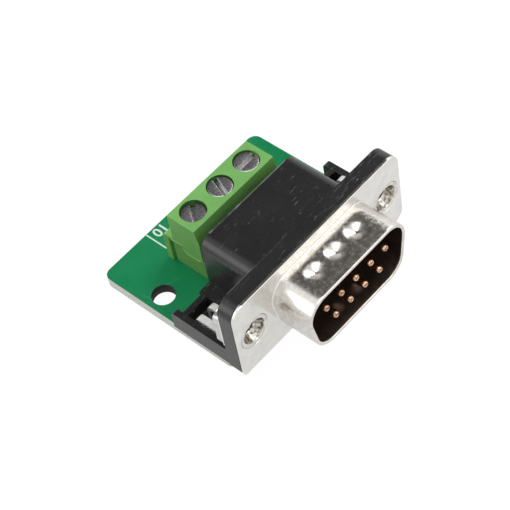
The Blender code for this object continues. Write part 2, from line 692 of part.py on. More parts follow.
def terminal_housing(plastic):
    """Mould the green housing with its wells, cells, wire entries and end recesses."""
    low = BOARD_TOP + SEAT
    top = BOARD_TOP + BLOCK_HEIGHT
    front = FLANGE_FRONT + BLOCK_FRONT
    top_back = FLANGE_FRONT + BLOCK_TOP_BACK
    back = FLANGE_FRONT + BLOCK_BACK
    nose = BOARD_TOP + NOSE_HEIGHT
    half = POLES * POLE_PITCH / 2
    outline = [
        (front, low), (back, low), (back, nose - NOSE_SLOPE), (back - NOSE_SLOPE, nose), (top_back, nose),
        (top_back, top), (front + BLOCK_CHAMFER_DEPTH, top), (front, top - BLOCK_CHAMFER_HEIGHT),
    ]
    body = finish("terminal_housing", prism("X", -half, half, outline), plastic, smooth=SOFT_BELOW)
    shoulder = BOARD_TOP + WELL_SHOULDER
    roof = shoulder - NECK_HEIGHT
    cell_front, cell_back = FLANGE_FRONT + CELL_FRONT, FLANGE_FRONT + CELL_BACK
    cell_step, high_back = nose - CELL_STEP, top_back - CELL_WALL
    cell_view = [
        (cell_front, low - BEYOND), (cell_back, low - BEYOND), (cell_back, cell_step),
        (high_back, cell_step), (high_back, roof), (cell_front, roof),
    ]
    sill = BOARD_TOP + ENTRY_BOTTOM
    for _, x in pole_places():
        mouth = top + BEYOND
        well = [(0, shoulder), (WELL_DIAMETER / 2, shoulder), (WELL_DIAMETER / 2, mouth), (0, mouth)]
        bore = finish("well", turned("Z", (x, SCREW_Y), well, FINE_SIDES), plastic, smooth=SOFT_BELOW)
        combine(body, bore, "DIFFERENCE")
        neck_radius = SCREW_SHANK / 2 + NECK_FIT
        ends = (roof - BEYOND, shoulder + BEYOND)
        neck = [(0, ends[0]), (neck_radius, ends[0]), (neck_radius, ends[1]), (0, ends[1])]
        bore = finish("neck", turned("Z", (x, SCREW_Y), neck, ROUND_SIDES), plastic, smooth=SOFT_BELOW)
        combine(body, bore, "DIFFERENCE")
        cell = prism("X", x - CELL_WIDTH / 2, x + CELL_WIDTH / 2, cell_view)
        combine(body, finish("cell", cell, plastic), "DIFFERENCE")
        rings = []
        for y, flare in ((cell_back - FIT, 0), (back - ENTRY_FLARE, 0), (back + FIT, ENTRY_FLARE)):
            reach = ENTRY_WIDTH / 2 + flare
            ring = rectangle(x - reach, x + reach, sill - flare, sill + ENTRY_HEIGHT + flare)
            rings.append([Vector((u, y, v)) for u, v in ring])
        combine(body, finish("entry", loft(rings), plastic), "DIFFERENCE")
    slit_front = FLANGE_FRONT + END_SLIT_LINE - END_SLIT_WIDTH / 2
    slit_top = BOARD_TOP + END_REAR_HEIGHT
    step = FLANGE_FRONT + END_STEP_LINE
    recess = [
        (front - BEYOND, low - BEYOND), (slit_front, low - BEYOND), (slit_front, slit_top),
        (step, BOARD_TOP + END_PEAK_HEIGHT), (step, BOARD_TOP + END_STEP_HEIGHT),
        (FLANGE_FRONT + END_DIP_LINE, BOARD_TOP + END_DIP_HEIGHT),
        (front - BEYOND, BOARD_TOP + END_FRONT_HEIGHT),
    ]
    for side in (-1, 1):
        inner, outer = sorted((side * (half - END_RECESS), side * (half + BEYOND)))
        combine(body, finish("recess", prism("X", inner, outer, recess), plastic), "DIFFERENCE")
        inner, outer = sorted((side * (half - END_SLIT_DEPTH), side * (half + BEYOND)))
        slit = box(inner, outer, slit_front, slit_front + END_SLIT_WIDTH, low - BEYOND, slit_top)
        combine(body, finish("slit", slit, plastic), "DIFFERENCE")
    return body


def terminal_screw(number, x, lift, turn, steel):
    """Turn one slotted clamp screw, standing on its neck or a little above it."""
    base = BOARD_TOP + WELL_SHOULDER + SEAT + lift
    top = base + SCREW_HEAD_HEIGHT
    head, shank = SCREW_HEAD / 2, SCREW_SHANK / 2
    end = base - SCREW_LENGTH
    profile = [
        (0, end), (shank - SCREW_POINT, end), (shank, end + SCREW_POINT), (shank, base), (head, base),
        (head, top - SCREW_EDGE), (head - SCREW_EDGE, top), (0, top),
    ]
    form = turned("Z", (x, SCREW_Y), profile, ROUND_SIDES)
    screw = finish(f"terminal_screw_{number}", form, steel, smooth=SOFT_BELOW)
    cutter = box(-SCREW_HEAD, SCREW_HEAD, -SLOT_WIDTH / 2, SLOT_WIDTH / 2, top - SLOT_DEPTH, top + BEYOND)
    bmesh.ops.rotate(cutter, verts=cutter.verts[:], cent=Vector(), matrix=Matrix.Rotation(turn, 3, "Z"))
    bmesh.ops.translate(cutter, verts=cutter.verts[:], vec=Vector((x, SCREW_Y, 0)))
    combine(screw, finish("slot", cutter, steel), "DIFFERENCE")
    set_origin(screw, Vector((x, SCREW_Y, base)))
    return screw


def clamp_cage(number, x, steel):
    """Fold one rising cage: a square loop with a tapped hole in its top."""
    low = BOARD_TOP + CAGE_LIFT
    top = low + CAGE_HEIGHT
    half = CAGE_WIDTH / 2
    window = rectangle(x - half + CAGE_SIDE, x + half - CAGE_SIDE, low + CAGE_SIDE, top - CAGE_TOP)
    middle = low + CAGE_HEIGHT / 2
    outline = rounded_rectangle(x, middle, CAGE_WIDTH, CAGE_HEIGHT, CAGE_SIDE / 2, SHALLOW_STEPS)
    front, back = SCREW_Y - CAGE_DEPTH / 2, SCREW_Y + CAGE_DEPTH / 2
    form = prism("Y", front, back, outline, [window])
    cage = finish(f"clamp_cage_{number}", form, steel, smooth=SOFT_BELOW)
    radius = SCREW_SHANK / 2 + FIT
    tapping = [(0, top - CAGE_TOP - FIT), (radius, top - CAGE_TOP - FIT), (radius, top + FIT), (0, top + FIT)]
    bore = finish("tapping", turned("Z", (x, SCREW_Y), tapping, ROUND_SIDES), steel, smooth=SOFT_BELOW)
    combine(cage, bore, "DIFFERENCE")
    set_origin(cage, Vector((x, SCREW_Y, low)))
    return cage


def clamp_contact(number, x, tin):
    """Fold one contact: a blade through the cage and a tail down through the board."""
    blade_z = BOARD_TOP + BLADE_LIFT + BLADE_THICKNESS / 2
    blade_end = FLANGE_FRONT + CELL_BACK - BLADE_END_GAP
    y = tail_y()
    corners = [(blade_end, blade_z), (y, blade_z), (y, BOARD_TOP + TAIL_OVERLAP)]
    path = rounded_path([Vector(corner) for corner in corners], BLADE_THICKNESS, SHALLOW_STEPS)
    half = BLADE_WIDTH / 2
    strip = prism("X", x - half, x + half, ribbon(path, BLADE_THICKNESS))
    contact = finish(f"clamp_contact_{number}", strip, tin)
    sides = (x - TAIL_WIDTH / 2, x + TAIL_WIDTH / 2)
    tail = box(*sides, y - BLADE_THICKNESS / 2, y + BLADE_THICKNESS / 2, 0, BOARD_TOP + BEYOND)
    combine(contact, finish("tail", tail, tin), "UNION")
    return contact


def clear_of(width, thickness):
    """Return the radius of a faceted bore whose flats clear a flat tail's corners."""
    return (math.hypot(width, thickness) / 2 + SEAT) / math.cos(math.pi / SMALL_SIDES)


def solder_joint(name, x, y, inner, height, tin):
    """Shape one fillet of solder under the board, round a tail."""
    top = BOARD_UNDERSIDE - SEAT
    pad = inner + PAD_MARGIN
    crest = inner + SOLDER_CREST
    shares = [i / SHALLOW_STEPS for i in range(SHALLOW_STEPS + 1)]
    flank = [(crest + (pad - crest) * (1 - share) ** 2, top - height * share) for share in shares]
    profile = [(inner, top)] + flank + [(inner, top - height)]
    return finish(name, turned("Z", (x, y), profile, SMALL_SIDES), tin, smooth=COARSE_SOFT_BELOW)


def build():
    """Make the whole adapter."""
    clear_scene()
    nickel = material("nickel", (0.72, 0.71, 0.68), 0.28, 1.0)
    zinc = material("zinc", (0.62, 0.62, 0.6), 0.4, 1.0)
    gold = material("gold", (0.86, 0.55, 0.28), 0.3, 1.0)
    tin = material("tin", (0.7, 0.7, 0.69), 0.35, 1.0)
    black = material("black plastic", (0.03, 0.03, 0.033), 0.45)
    dark = material("insulator plastic", (0.022, 0.018, 0.016), 0.5)
    green = material("green plastic", (0.19, 0.5, 0.13), 0.45)
    laminate = material("solder mask", (0.01, 0.28, 0.1), 0.35)

    board(laminate)
    dsub_shell(nickel)
    dsub_insulator(dark)
    bracket(black)
    for number, x, height, row in pin_places():
        pin(number, x, height, row, gold)
        solder_joint(f"solder_pin_{number}", x, row, WIRE_DIAMETER / 2 + SEAT, SOLDER_HEIGHT, tin)
    for word, side in (("left", -1), ("right", 1)):
        lock_insert(f"lock_insert_{word}", side, nickel)
        lock_nut(f"lock_nut_{word}", side, zinc)
        earth_strap(f"earth_strap_{word}", side, zinc)
        reach = clear_of(FORK_WIDTH, STRAP_SHEET)
        solder_joint(f"solder_strap_{word}", side * LOCK_SPACING / 2, FORK_Y, reach, LOCK_SOLDER_HEIGHT, tin)
    terminal_housing(green)
    for (number, x), lift, turn in zip(pole_places(), SCREW_LIFTS, SLOT_TURNS):
        terminal_screw(number, x, lift, turn, zinc)
        clamp_cage(number, x, zinc)
        clamp_contact(number, x, tin)
        reach = clear_of(TAIL_WIDTH, BLADE_THICKNESS)
        solder_joint(f"solder_contact_{number}", x, tail_y(), reach, SOLDER_HEIGHT, tin)


build()
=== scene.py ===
"""Looks of a right-angled nine-way plug on a small circuit board with a screw terminal block.

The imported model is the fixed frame. Each class below makes one sub-assembly around it, finer than
the frame's own solids, dresses it in procedural finishes and hands it to the body that carries it.
Axes: +X to the right when facing the plug, -Y out of its mouth, +Z up. Sizes are in metres.
"""

import json
import logging
import math
from collections.abc import Callable, Iterable, Sequence
from dataclasses import dataclass
from enum import Enum
from functools import cached_property

import bmesh
import bpy
from mathutils import Matrix, Vector

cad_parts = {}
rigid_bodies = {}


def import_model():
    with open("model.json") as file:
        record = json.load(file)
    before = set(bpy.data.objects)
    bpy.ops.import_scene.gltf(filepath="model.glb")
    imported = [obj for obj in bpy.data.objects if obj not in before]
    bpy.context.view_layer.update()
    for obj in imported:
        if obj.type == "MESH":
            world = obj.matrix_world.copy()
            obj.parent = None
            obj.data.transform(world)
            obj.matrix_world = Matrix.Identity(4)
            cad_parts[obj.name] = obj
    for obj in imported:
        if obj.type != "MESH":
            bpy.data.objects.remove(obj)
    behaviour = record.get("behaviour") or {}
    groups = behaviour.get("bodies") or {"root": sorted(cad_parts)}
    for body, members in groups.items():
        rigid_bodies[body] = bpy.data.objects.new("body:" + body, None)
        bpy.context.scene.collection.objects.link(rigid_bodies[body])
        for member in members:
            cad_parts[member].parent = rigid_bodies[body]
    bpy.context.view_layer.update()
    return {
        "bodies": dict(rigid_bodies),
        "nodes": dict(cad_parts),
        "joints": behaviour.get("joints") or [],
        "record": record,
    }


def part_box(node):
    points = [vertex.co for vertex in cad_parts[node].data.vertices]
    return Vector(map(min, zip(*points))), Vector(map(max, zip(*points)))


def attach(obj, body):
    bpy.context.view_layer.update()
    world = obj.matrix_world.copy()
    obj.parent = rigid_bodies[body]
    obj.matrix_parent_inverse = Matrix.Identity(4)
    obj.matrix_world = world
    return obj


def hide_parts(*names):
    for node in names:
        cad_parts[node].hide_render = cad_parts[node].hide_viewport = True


LOG = logging.getLogger("adapter")
MM = 0.001
MERGE = 0.0005 * MM
FLAT = 1.0
CORNER_STEPS = 10
EASE_STEPS = 4
# The parts of a face's normal along an axis from which it counts as level, facing, leaning or bent.
LEVEL, FACING, LEANING, BENT = 0.98, 0.9, 0.5, 0.2
ROOT = "adapter"
DIRECT_RAYS = ("Is Camera Ray", "Is Transmission Ray")
MIRRORED_RAYS = ("Is Glossy Ray",)

Pair = tuple[float, float]
Point = tuple[float, float]
Triple = tuple[float, float, float]
Colour = tuple[float, float, float]
Face = bmesh.types.BMFace
Material = bpy.types.Material
Piece = bpy.types.Object
Socket = bpy.types.NodeSocket
Tree = bpy.types.NodeTree


class Axis(Enum):
    """The direction that a profile is drawn out or turned about."""

    X = 0
    Y = 1
    Z = 2

    def place(self, u: float, v: float, along: float) -> Vector:
        """Return the point with two coordinates across this axis and one along it."""
        return Vector({Axis.X: (along, u, v), Axis.Y: (u, along, v), Axis.Z: (u, v, along)}[self])


class Slot(Enum):
    """The record's material slots."""

    NICKEL = "nickel"
    ZINC = "zinc"
    GOLD = "gold"
    TIN = "tin"
    BLACK = "black_plastic"
    INSULATOR = "insulator_plastic"
    GREEN = "green_plastic"
    MASK = "solder_mask"


def arc(x: float, y: float, radius: float, start: float, end: float, steps: int) -> list[Point]:
    """Return points along an arc.

    Args:
        x, y: The arc's centre.
        radius: Its radius.
        start, end: Its first and last angle, in degrees.
        steps: How many parts it is cut into.

    Returns:
        The points, the first and the last included.
    """
    turns = [math.radians(start + (end - start) * i / steps) for i in range(steps + 1)]
    return [(x + radius * math.cos(t), y + radius * math.sin(t)) for t in turns]


def circle(x: float, y: float, radius: float, sides: int) -> list[Point]:
    """Return the corners of a round outline."""
    return arc(x, y, radius, 0, 360, sides)[:-1]


def rounded_rectangle(
    centre: Point, width: float, height: float, radius: float, steps: int, lower_left: float | None = None,
) -> list[Point]:
    """Return a rectangle's outline with round corners.

    Args:
        centre: The rectangle's middle.
        width, height: Its sizes.
        radius: Its corners' radius.
        steps: How many parts each corner is cut into.
        lower_left: The radius of that corner, where it differs.

    Returns:
        The outline's points, anticlockwise.
    """
    radii = (radius, radius, lower_left or radius, radius)
    points = []
    for corner, (side, rise, own) in enumerate(zip((1, -1, -1, 1), (1, 1, -1, -1), radii)):
        x = centre[0] + side * (width / 2 - own)
        y = centre[1] + rise * (height / 2 - own)
        points += arc(x, y, own, 90 * corner, 90 * corner + 90, steps)
    return points


def thread(crest: float, root: float, pitch: float, start: float, end: float) -> list[Point]:
    """Return a thread's flanks as (radius, place) pairs.

    Args:
        crest, root: The radius at the start and at the middle of each turn.
        pitch: The length of a turn.
        start, end: The thread's ends along its axis, in the order in which it is drawn.

    Returns:
        The profile's points from start to end.
    """
    turns = max(int(abs(end - start) / pitch), 1)
    step = (end - start) / turns
    points = []
    for i in range(turns):
        points += [(crest, start + i * step), (root, start + (i + 0.5) * step)]
    return points + [(crest, end)]


def ribbon(path: Sequence[Point], width: float) -> list[Point]:
    """Return the outline of a strip of even width along a path."""
    left, right = [], []
    for i, point in enumerate(path):
        before = Vector(path[max(i - 1, 0)])
        after = Vector(path[min(i + 1, len(path) - 1)])
        here = Vector(point)
        way_in = (here - before).normalized() or (after - here).normalized()
        way_out = (after - here).normalized() or way_in
        ahead = (way_in + way_out).normalized()
        side = Vector((-ahead.y, ahead.x)) * width / 2 / max(ahead.dot(way_in), 0.5)
        left.append(tuple(here + side))
        right.append(tuple(here - side))
    return left + right[::-1]


def upright(outline: Iterable[Point], y: float) -> list[Vector]:
    """Return an outline's places where it stands across the Y axis."""
    return [Vector((x, y, z)) for x, z in outline]


def middle_of(node: str) -> Point:
    """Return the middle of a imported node's box, seen from above."""
    low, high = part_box(node)
    return (low.x + high.x) / 2, (low.y + high.y) / 2


def add_object(name: str, data: bpy.types.ID) -> Piece:
    """Put an object with this data in the scene."""
    made = bpy.data.objects.new(name, data)
    bpy.context.scene.collection.objects.link(made)
    return made


def worked_out(piece: Piece) -> bpy.types.Mesh:
    """Return an object's mesh with its modifiers applied, or its text drawn."""
    graph = bpy.context.evaluated_depsgraph_get()
    return bpy.data.meshes.new_from_object(piece.evaluated_get(graph))


class Form:
    """A shape in the making, with the modelling steps that the pieces share."""

    def __init__(self) -> None:
        self.mesh = bmesh.new()

    @classmethod
    def from_node(cls, node: Piece) -> "Form":
        """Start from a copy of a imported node, with its flat faces made one."""
        form = cls()
        form.mesh.from_mesh(node.data)
        form.weld()
        bmesh.ops.dissolve_limit(
            form.mesh, angle_limit=math.radians(FLAT), use_dissolve_boundaries=False,
            verts=form.mesh.verts[:], edges=form.mesh.edges[:], delimit=set(),
        )
        return form

    def rim(self, places: Iterable[Vector]) -> list[bmesh.types.BMVert]:
        """Add a closed rim of corners and return them in order."""
        corners = [self.mesh.verts.new(place) for place in places]
        for near, far in zip(corners, corners[1:] + corners[:1]):
            self.mesh.edges.new((near, far))
        return corners

    def grow(self, rim: list[bmesh.types.BMVert], places: Iterable[Vector]) -> list[bmesh.types.BMVert]:
        """Extrude a rim's corners to new places, in the same order, and return the new corners."""
        edges = [self.mesh.edges.get(pair) for pair in zip(rim, rim[1:] + rim[:1])]
        grown = bmesh.ops.extrude_edge_only(self.mesh, edges=edges)["geom"]
        fresh = {item for item in grown if isinstance(item, bmesh.types.BMVert)}
        moved = []
        for corner, place in zip(rim, places):
            others = (edge.other_vert(corner) for edge in corner.link_edges)
            partner = next(other for other in others if other in fresh)
            partner.co = place
            moved.append(partner)
        return moved

    def loft(self, rings: Sequence[Sequence[Vector]]) -> tuple[list, list]:
        """Draw a skin through rings of places and return its first and last rims."""
        first = last = self.rim(rings[0])
        for ring in rings[1:]:
            last = self.grow(last, ring)
        return first, last

    def fill(self, *rims: list[bmesh.types.BMVert]) -> None:
        """Fill a flat rim, less the rims inside it, with faces."""
        edges = [self.mesh.edges.get(pair) for rim in rims for pair in zip(rim, rim[1:] + rim[:1])]
        bmesh.ops.triangle_fill(self.mesh, use_beauty=True, edges=edges)

    def close(self, walls: Iterable[tuple[list, list]]) -> "Form":
        """Fill both ends of walls that stand one inside the other, and point every face outwards."""
        for rims in zip(*walls):
            self.fill(*rims)
        return self.outwards()

    def round_wall(self, centre: Point, stations: Iterable[Point], sides: int) -> tuple[list, list]:
        """Draw a round wall about Y through (radius, Y) stations and return its rims."""
        return self.loft([upright(circle(*centre, radius, sides), y) for radius, y in stations])

    def draw_out(
        self, axis: Axis, start: float, end: float, outline: Sequence[Point],
        holes: Sequence[Sequence[Point]] = (),
    ) -> "Form":
        """Add an outline with holes, drawn out along an axis.

        Args:
            axis: The direction.
            start, end: The two ends along it.
            outline: The outer outline.
            holes: The outlines of the holes in it.

        Returns:
            This form.
        """
        walls = []
        for loop in (outline, *holes):
            walls.append(self.loft([[axis.place(u, v, along) for u, v in loop] for along in (start, end)]))
        return self.close(walls)

    def turn(self, axis: Axis, centre: Point, profile: Sequence[Point], sides: int) -> "Form":
        """Add a profile turned a full turn about an axis.

        Args:
            axis: The direction of the axis.
            centre: Where the axis passes.
            profile: (radius, place along the axis) pairs, closed unless it starts on the axis.
            sides: How many facets the turn has.

        Returns:
            This form.
        """
        corners = [self.mesh.verts.new(axis.place(centre[0] + r, centre[1], along)) for r, along in profile]
        links = list(zip(corners, corners[1:]))
        if profile[0][0] > 0:
            links.append((corners[-1], corners[0]))
        edges = [self.mesh.edges.new(pair) for pair in links]
        bmesh.ops.spin(
            self.mesh, geom=corners + edges, cent=axis.place(*centre, 0), axis=axis.place(0, 0, 1),
            dvec=(0, 0, 0), angle=2 * math.pi, steps=sides, use_merge=True,
        )
        self.weld()
        return self.outwards()

    def weld(self) -> None:
        """Join the corners that lie in one place."""
        bmesh.ops.remove_doubles(self.mesh, verts=self.mesh.verts[:], dist=MERGE)

    def outwards(self) -> "Form":
        """Point every face outwards and return this form."""
        bmesh.ops.recalc_face_normals(self.mesh, faces=self.mesh.faces[:])
        return self

    def soften(
        self, width: float, segments: int = 3, angle: float = 30.0,
        where: Callable[[Vector], bool] = lambda middle: True, finish: int = 0,
    ) -> "Form":
        """Round the edges that are sharper than an angle.

        Args:
            width: How far the rounding reaches on each side.
            segments: How many facets it has.
            angle: The least angle, in degrees, between an edge's two faces.
            where: Says of an edge's middle whether the edge is rounded.
            finish: The number of the rounding's finish among the piece's finishes.

        Returns:
            This form.
        """
        least = math.radians(angle)
        sharp = []
        for edge in self.mesh.edges:
            middle = (edge.verts[0].co + edge.verts[1].co) / 2
            if len(edge.link_faces) == 2 and edge.calc_face_angle() > least and where(middle):
                sharp.append(edge)
        rounded = bmesh.ops.bevel(
            self.mesh, geom=sharp, offset=width, offset_type="OFFSET", segments=segments, profile=0.5,
            affect="EDGES", clamp_overlap=True, material=-1, loop_slide=True,
        )
        if finish:
            for face in rounded["faces"]:
                face.material_index = finish
        return self

    def dress(self, finish: int, where: Callable[[Face], bool]) -> None:
        """Give the faces that a test picks another of the piece's finishes."""
        for face in self.mesh.faces:
            if where(face):
                face.material_index = finish

    def finish(self, name: str, materials: Sequence[Material], smooth: float = 40.0) -> Piece:
        """Make the form an object.

        Args:
            name: The object's name.
            materials: Its finishes, the first for every face that names no other.
            smooth: The angle, in degrees, above which an edge stays sharp.

        Returns:
            The object, whose origin is the frame's.
        """
        mesh = bpy.data.meshes.new(name)
        self.mesh.to_mesh(mesh)
        self.mesh.free()
        for material in materials:
            mesh.materials.append(material)
        mesh.shade_smooth()
        mesh.set_sharp_from_angle(angle=math.radians(smooth))
        made = add_object(name, mesh)
        made.modifiers.new("even faces", "WEIGHTED_NORMAL").keep_sharp = True
        return made


def cut(base: Piece, tool: Piece) -> None:
    """Cut one object with another, which is then removed."""
    step = base.modifiers.new("cut", "BOOLEAN")
    step.operation = "DIFFERENCE"
    step.solver = "EXACT"
    step.object = tool
    result = worked_out(base)
    base.modifiers.remove(step)
    base.data = result
    bpy.data.objects.remove(tool, do_unlink=True)


def feed(tree: Tree, socket: Socket, value: float | Colour | Socket) -> None:
    """Set one input of a node, or link it to another node's output."""
    if isinstance(value, Socket):
        tree.links.new(value, socket)
    else:
        socket.default_value = (*value, 1.0) if socket.type == "RGBA" else value


def add_node(tree: Tree, kind: str, inputs: dict, **options: str | bool) -> bpy.types.Node:
    """Add a shader node.

    Args:
        tree: The tree that it joins.
        kind: Its type, such as Math.
        inputs: What its inputs get, by their names or numbers.
        options: Its own options.

    Returns:
        The node.
    """
    node = tree.nodes.new(f"ShaderNode{kind}")
    for name, choice in options.items():
        setattr(node, name, choice)
    for key, value in inputs.items():
        feed(tree, node.inputs[key], value)
    return node


def combined(tree: Tree, operation: str, first: Socket, second: Socket | float) -> Socket:
    """Return two values put together by a sum, a product or the like."""
    return add_node(tree, "Math", {0: first, 1: second}, operation=operation).outputs["Value"]


def mixed(tree: Tree, share: Socket, first: Socket | Colour, second: Socket | Colour) -> Socket:
    """Return the first colour where the share is 0 and the second where it is 1."""
    return add_node(tree, "Mix", {"Factor": share, 6: first, 7: second}, data_type="RGBA").outputs[2]


class Shader:
    """A Principled material whose inputs are driven by procedural nodes in object coordinates."""

    def __init__(self, title: str) -> None:
        self.material = bpy.data.materials.new(title)
        self.material.use_nodes = True
        self.tree = self.material.node_tree
        self.surface = self.tree.nodes["Principled BSDF"]
        self.position = self.tree.nodes.new("ShaderNodeTexCoord").outputs["Object"]

    def put(self, name: str, value: float | Colour | Socket) -> None:
        """Set or link one input of the surface."""
        feed(self.tree, self.surface.inputs[name], value)

    def mapped(self, sizes: Triple, turn: Triple = (0, 0, 0)) -> Socket:
        """Return the position turned, in degrees, and then counted in sizes along each axis."""
        angles = [math.radians(angle) for angle in turn]
        inputs = {"Vector": self.position, "Rotation": angles, "Scale": [1 / size for size in sizes]}
        return add_node(self.tree, "Mapping", inputs, vector_type="POINT").outputs["Vector"]

    def noise(self, size: float, detail: float = 2.0, vector: Socket | None = None) -> Socket:
        """Return noise between 0 and 1 whose patches have a size, in metres."""
        inputs = {"Vector": vector or self.position, "Scale": 1 / size, "Detail": detail}
        return add_node(self.tree, "TexNoise", inputs).outputs["Fac"]

    def span(self, value: Socket, low: float, high: float, first: float = 0.0, last: float = 1.0) -> Socket:
        """Return a value stretched from one range to another and held inside it."""
        inputs = {"Value": value, "From Min": low, "From Max": high, "To Min": first, "To Max": last}
        return add_node(self.tree, "MapRange", inputs, clamp=True).outputs["Result"]

    def combine(self, operation: str, first: Socket, second: Socket | float) -> Socket:
        """Return two values put together by a sum, a product or the like."""
        return combined(self.tree, operation, first, second)

    def blend(self, share: Socket, first: Socket | Colour, second: Socket | Colour) -> Socket:
        """Return the first colour where the share is 0 and the second where it is 1."""
        return mixed(self.tree, share, first, second)

    def specks(self, spacing: float, reach: float, share: float) -> Socket:
        """Mark small round specks.

        Args:
            spacing: The mean distance between the specks' cells.
            reach: A speck's radius as a part of the spacing.
            share: The part of the cells that hold a speck.

        Returns:
            1 on the specks and 0 elsewhere.
        """
        cells = add_node(self.tree, "TexVoronoi", {"Vector": self.position, "Scale": 1 / spacing})
        channel = add_node(self.tree, "SeparateColor", {"Color": cells.outputs["Color"]})
        spot = self.span(cells.outputs["Distance"], reach, reach / 2)
        held = self.span(channel.outputs["Red"], share + 0.01, share)
        return self.combine("MULTIPLY", spot, held)

    def scratches(self, length: float, width: float, turn: Triple, amount: float) -> Socket:
        """Mark thin straight scratches.

        Args:
            length, width: The marks' mean sizes.
            turn: The turn of their direction, in degrees about each axis.
            amount: How high the noise stands over a mark, so that more means fewer marks.

        Returns:
            1 along the marks and 0 elsewhere.
        """
        lines = self.noise(1.0, 1.0, self.mapped((length, width, length), turn))
        return self.span(lines, amount, amount + 0.02)

    def relief(self, *layers: tuple[Socket, float]) -> None:
        """Raise the surface by heights between 0 and 1, each with its depth in metres."""
        under = {}
        for height, depth in layers:
            inputs = {"Height": height, "Strength": 1.0, "Distance": depth, **under}
            under = {"Normal": add_node(self.tree, "Bump", inputs).outputs["Normal"]}
        self.put("Normal", under["Normal"])


@dataclass(frozen=True)
class Plating:
    """A bright or satin metal coat."""

    title: str
    light: Colour
    dark: Colour
    gloss: Pair
    ripple: float
    wave: float
    mottle: float = 0.8 * MM
    grain: float = 0.12 * MM
    stain: Colour = (0.12, 0.11, 0.1)

    def make(self) -> Material:
        """Return the coat's material."""
        shader = Shader(self.title)
        patches = shader.noise(self.mottle, 5.0)
        fine = shader.noise(self.grain, 3.0)
        swell = shader.noise(2.6 * MM, 1.0)
        spots = shader.combine("MULTIPLY", shader.specks(0.9 * MM, 0.09, 0.16), 0.5)
        colour = shader.blend(shader.span(patches, 0.38, 0.68), self.light, self.dark)
        shader.put("Base Color", shader.blend(spots, colour, self.stain))
        shader.put("Metallic", 1.0)
        shader.put("Roughness", shader.span(patches, 0.35, 0.7, *self.gloss))
        shader.relief((fine, self.ripple), (swell, self.wave))
        return shader.material


@dataclass(frozen=True)
class Moulding:
    """A moulded plastic with fine grain, scuffs and dust."""

    title: str
    base: Colour
    shade: Colour
    gloss: Pair
    scuff: Colour
    scuff_share: float
    grain_depth: float
    glow: float = 0.0

    def make(self) -> Material:
        """Return the plastic's material."""
        shader = Shader(self.title)
        cloud = shader.noise(3.0 * MM, 3.0)
        grain = shader.noise(0.09 * MM, 2.0)
        patches = shader.noise(2.2 * MM, 2.0)
        colour = shader.blend(shader.span(cloud, 0.35, 0.7), self.base, self.shade)
        marks = shader.scratches(2.4 * MM, 0.05 * MM, (0, 0, 38), 0.73)
        crossed = shader.scratches(1.6 * MM, 0.04 * MM, (0, 0, -27), 0.75)
        dust = shader.specks(1.1 * MM, 0.07, 0.3)
        worn = shader.combine("MAXIMUM", shader.combine("MAXIMUM", marks, crossed), dust)
        worn = shader.combine("MULTIPLY", worn, shader.span(patches, 0.45, 0.6, 0.0, self.scuff_share))
        shader.put("Base Color", shader.blend(worn, colour, self.scuff))
        shader.put("Roughness", shader.span(grain, 0.3, 0.7, *self.gloss))
        if self.glow > 0:
            shader.put("Subsurface Weight", self.glow)
            shader.put("Subsurface Radius", (0.4, 1.0, 0.3))
            shader.put("Subsurface Scale", 0.6 * MM)
        shader.relief((grain, self.grain_depth), (worn, self.grain_depth))
        return shader.material


@dataclass(frozen=True)
class MaskCoat:
    """Solder mask: a glossy green coat over laminate, a little uneven."""

    title: str
    base: Colour
    shade: Colour
    dust: Colour = (0.5, 0.62, 0.5)

    def make(self) -> Material:
        """Return the coat's material."""
        shader = Shader(self.title)
        cloud = shader.noise(5.0 * MM, 2.0)
        weave = shader.noise(1.0, 1.0, shader.mapped((0.35 * MM, 0.35 * MM, 3 * MM)))
        specks = shader.combine("MULTIPLY", shader.specks(1.6 * MM, 0.05, 0.2), 0.5)
        colour = shader.blend(shader.span(cloud, 0.35, 0.7), self.base, self.shade)
        shader.put("Base Color", shader.blend(specks, colour, self.dust))
        shader.put("Roughness", shader.span(cloud, 0.3, 0.7, 0.26, 0.36))
        shader.put("Specular IOR Level", 0.5)
        shader.relief((weave, 0.004 * MM))
        return shader.material


@dataclass(frozen=True)
class CutLaminate:
    """The sawn or drilled edge of glass-fibre laminate, in thin layers."""

    title: str
    resin: Colour
    glass: Colour

    def make(self) -> Material:
        """Return the edge's material."""
        shader = Shader(self.title)
        layers = shader.noise(1.0, 2.0, shader.mapped((0.5 * MM, 0.5 * MM, 0.12 * MM)))
        shader.put("Base Color", shader.blend(shader.span(layers, 0.4, 0.6), self.resin, self.glass))
        shader.put("Roughness", shader.span(layers, 0.3, 0.7, 0.65, 0.85))
        shader.relief((layers, 0.02 * MM))
        return shader.material


@dataclass(frozen=True)
class Ink:
    """Printed ink, thin and slightly broken."""

    title: str
    base: Colour
    under: Colour

    def make(self) -> Material:
        """Return the ink's material."""
        shader = Shader(self.title)
        body = shader.noise(0.16 * MM, 2.0)
        shader.put("Base Color", shader.blend(shader.span(body, 0.6, 0.8), self.base, self.under))
        shader.put("Roughness", shader.span(body, 0.3, 0.7, 0.5, 0.7))
        shader.relief((body, 0.006 * MM))
        return shader.material


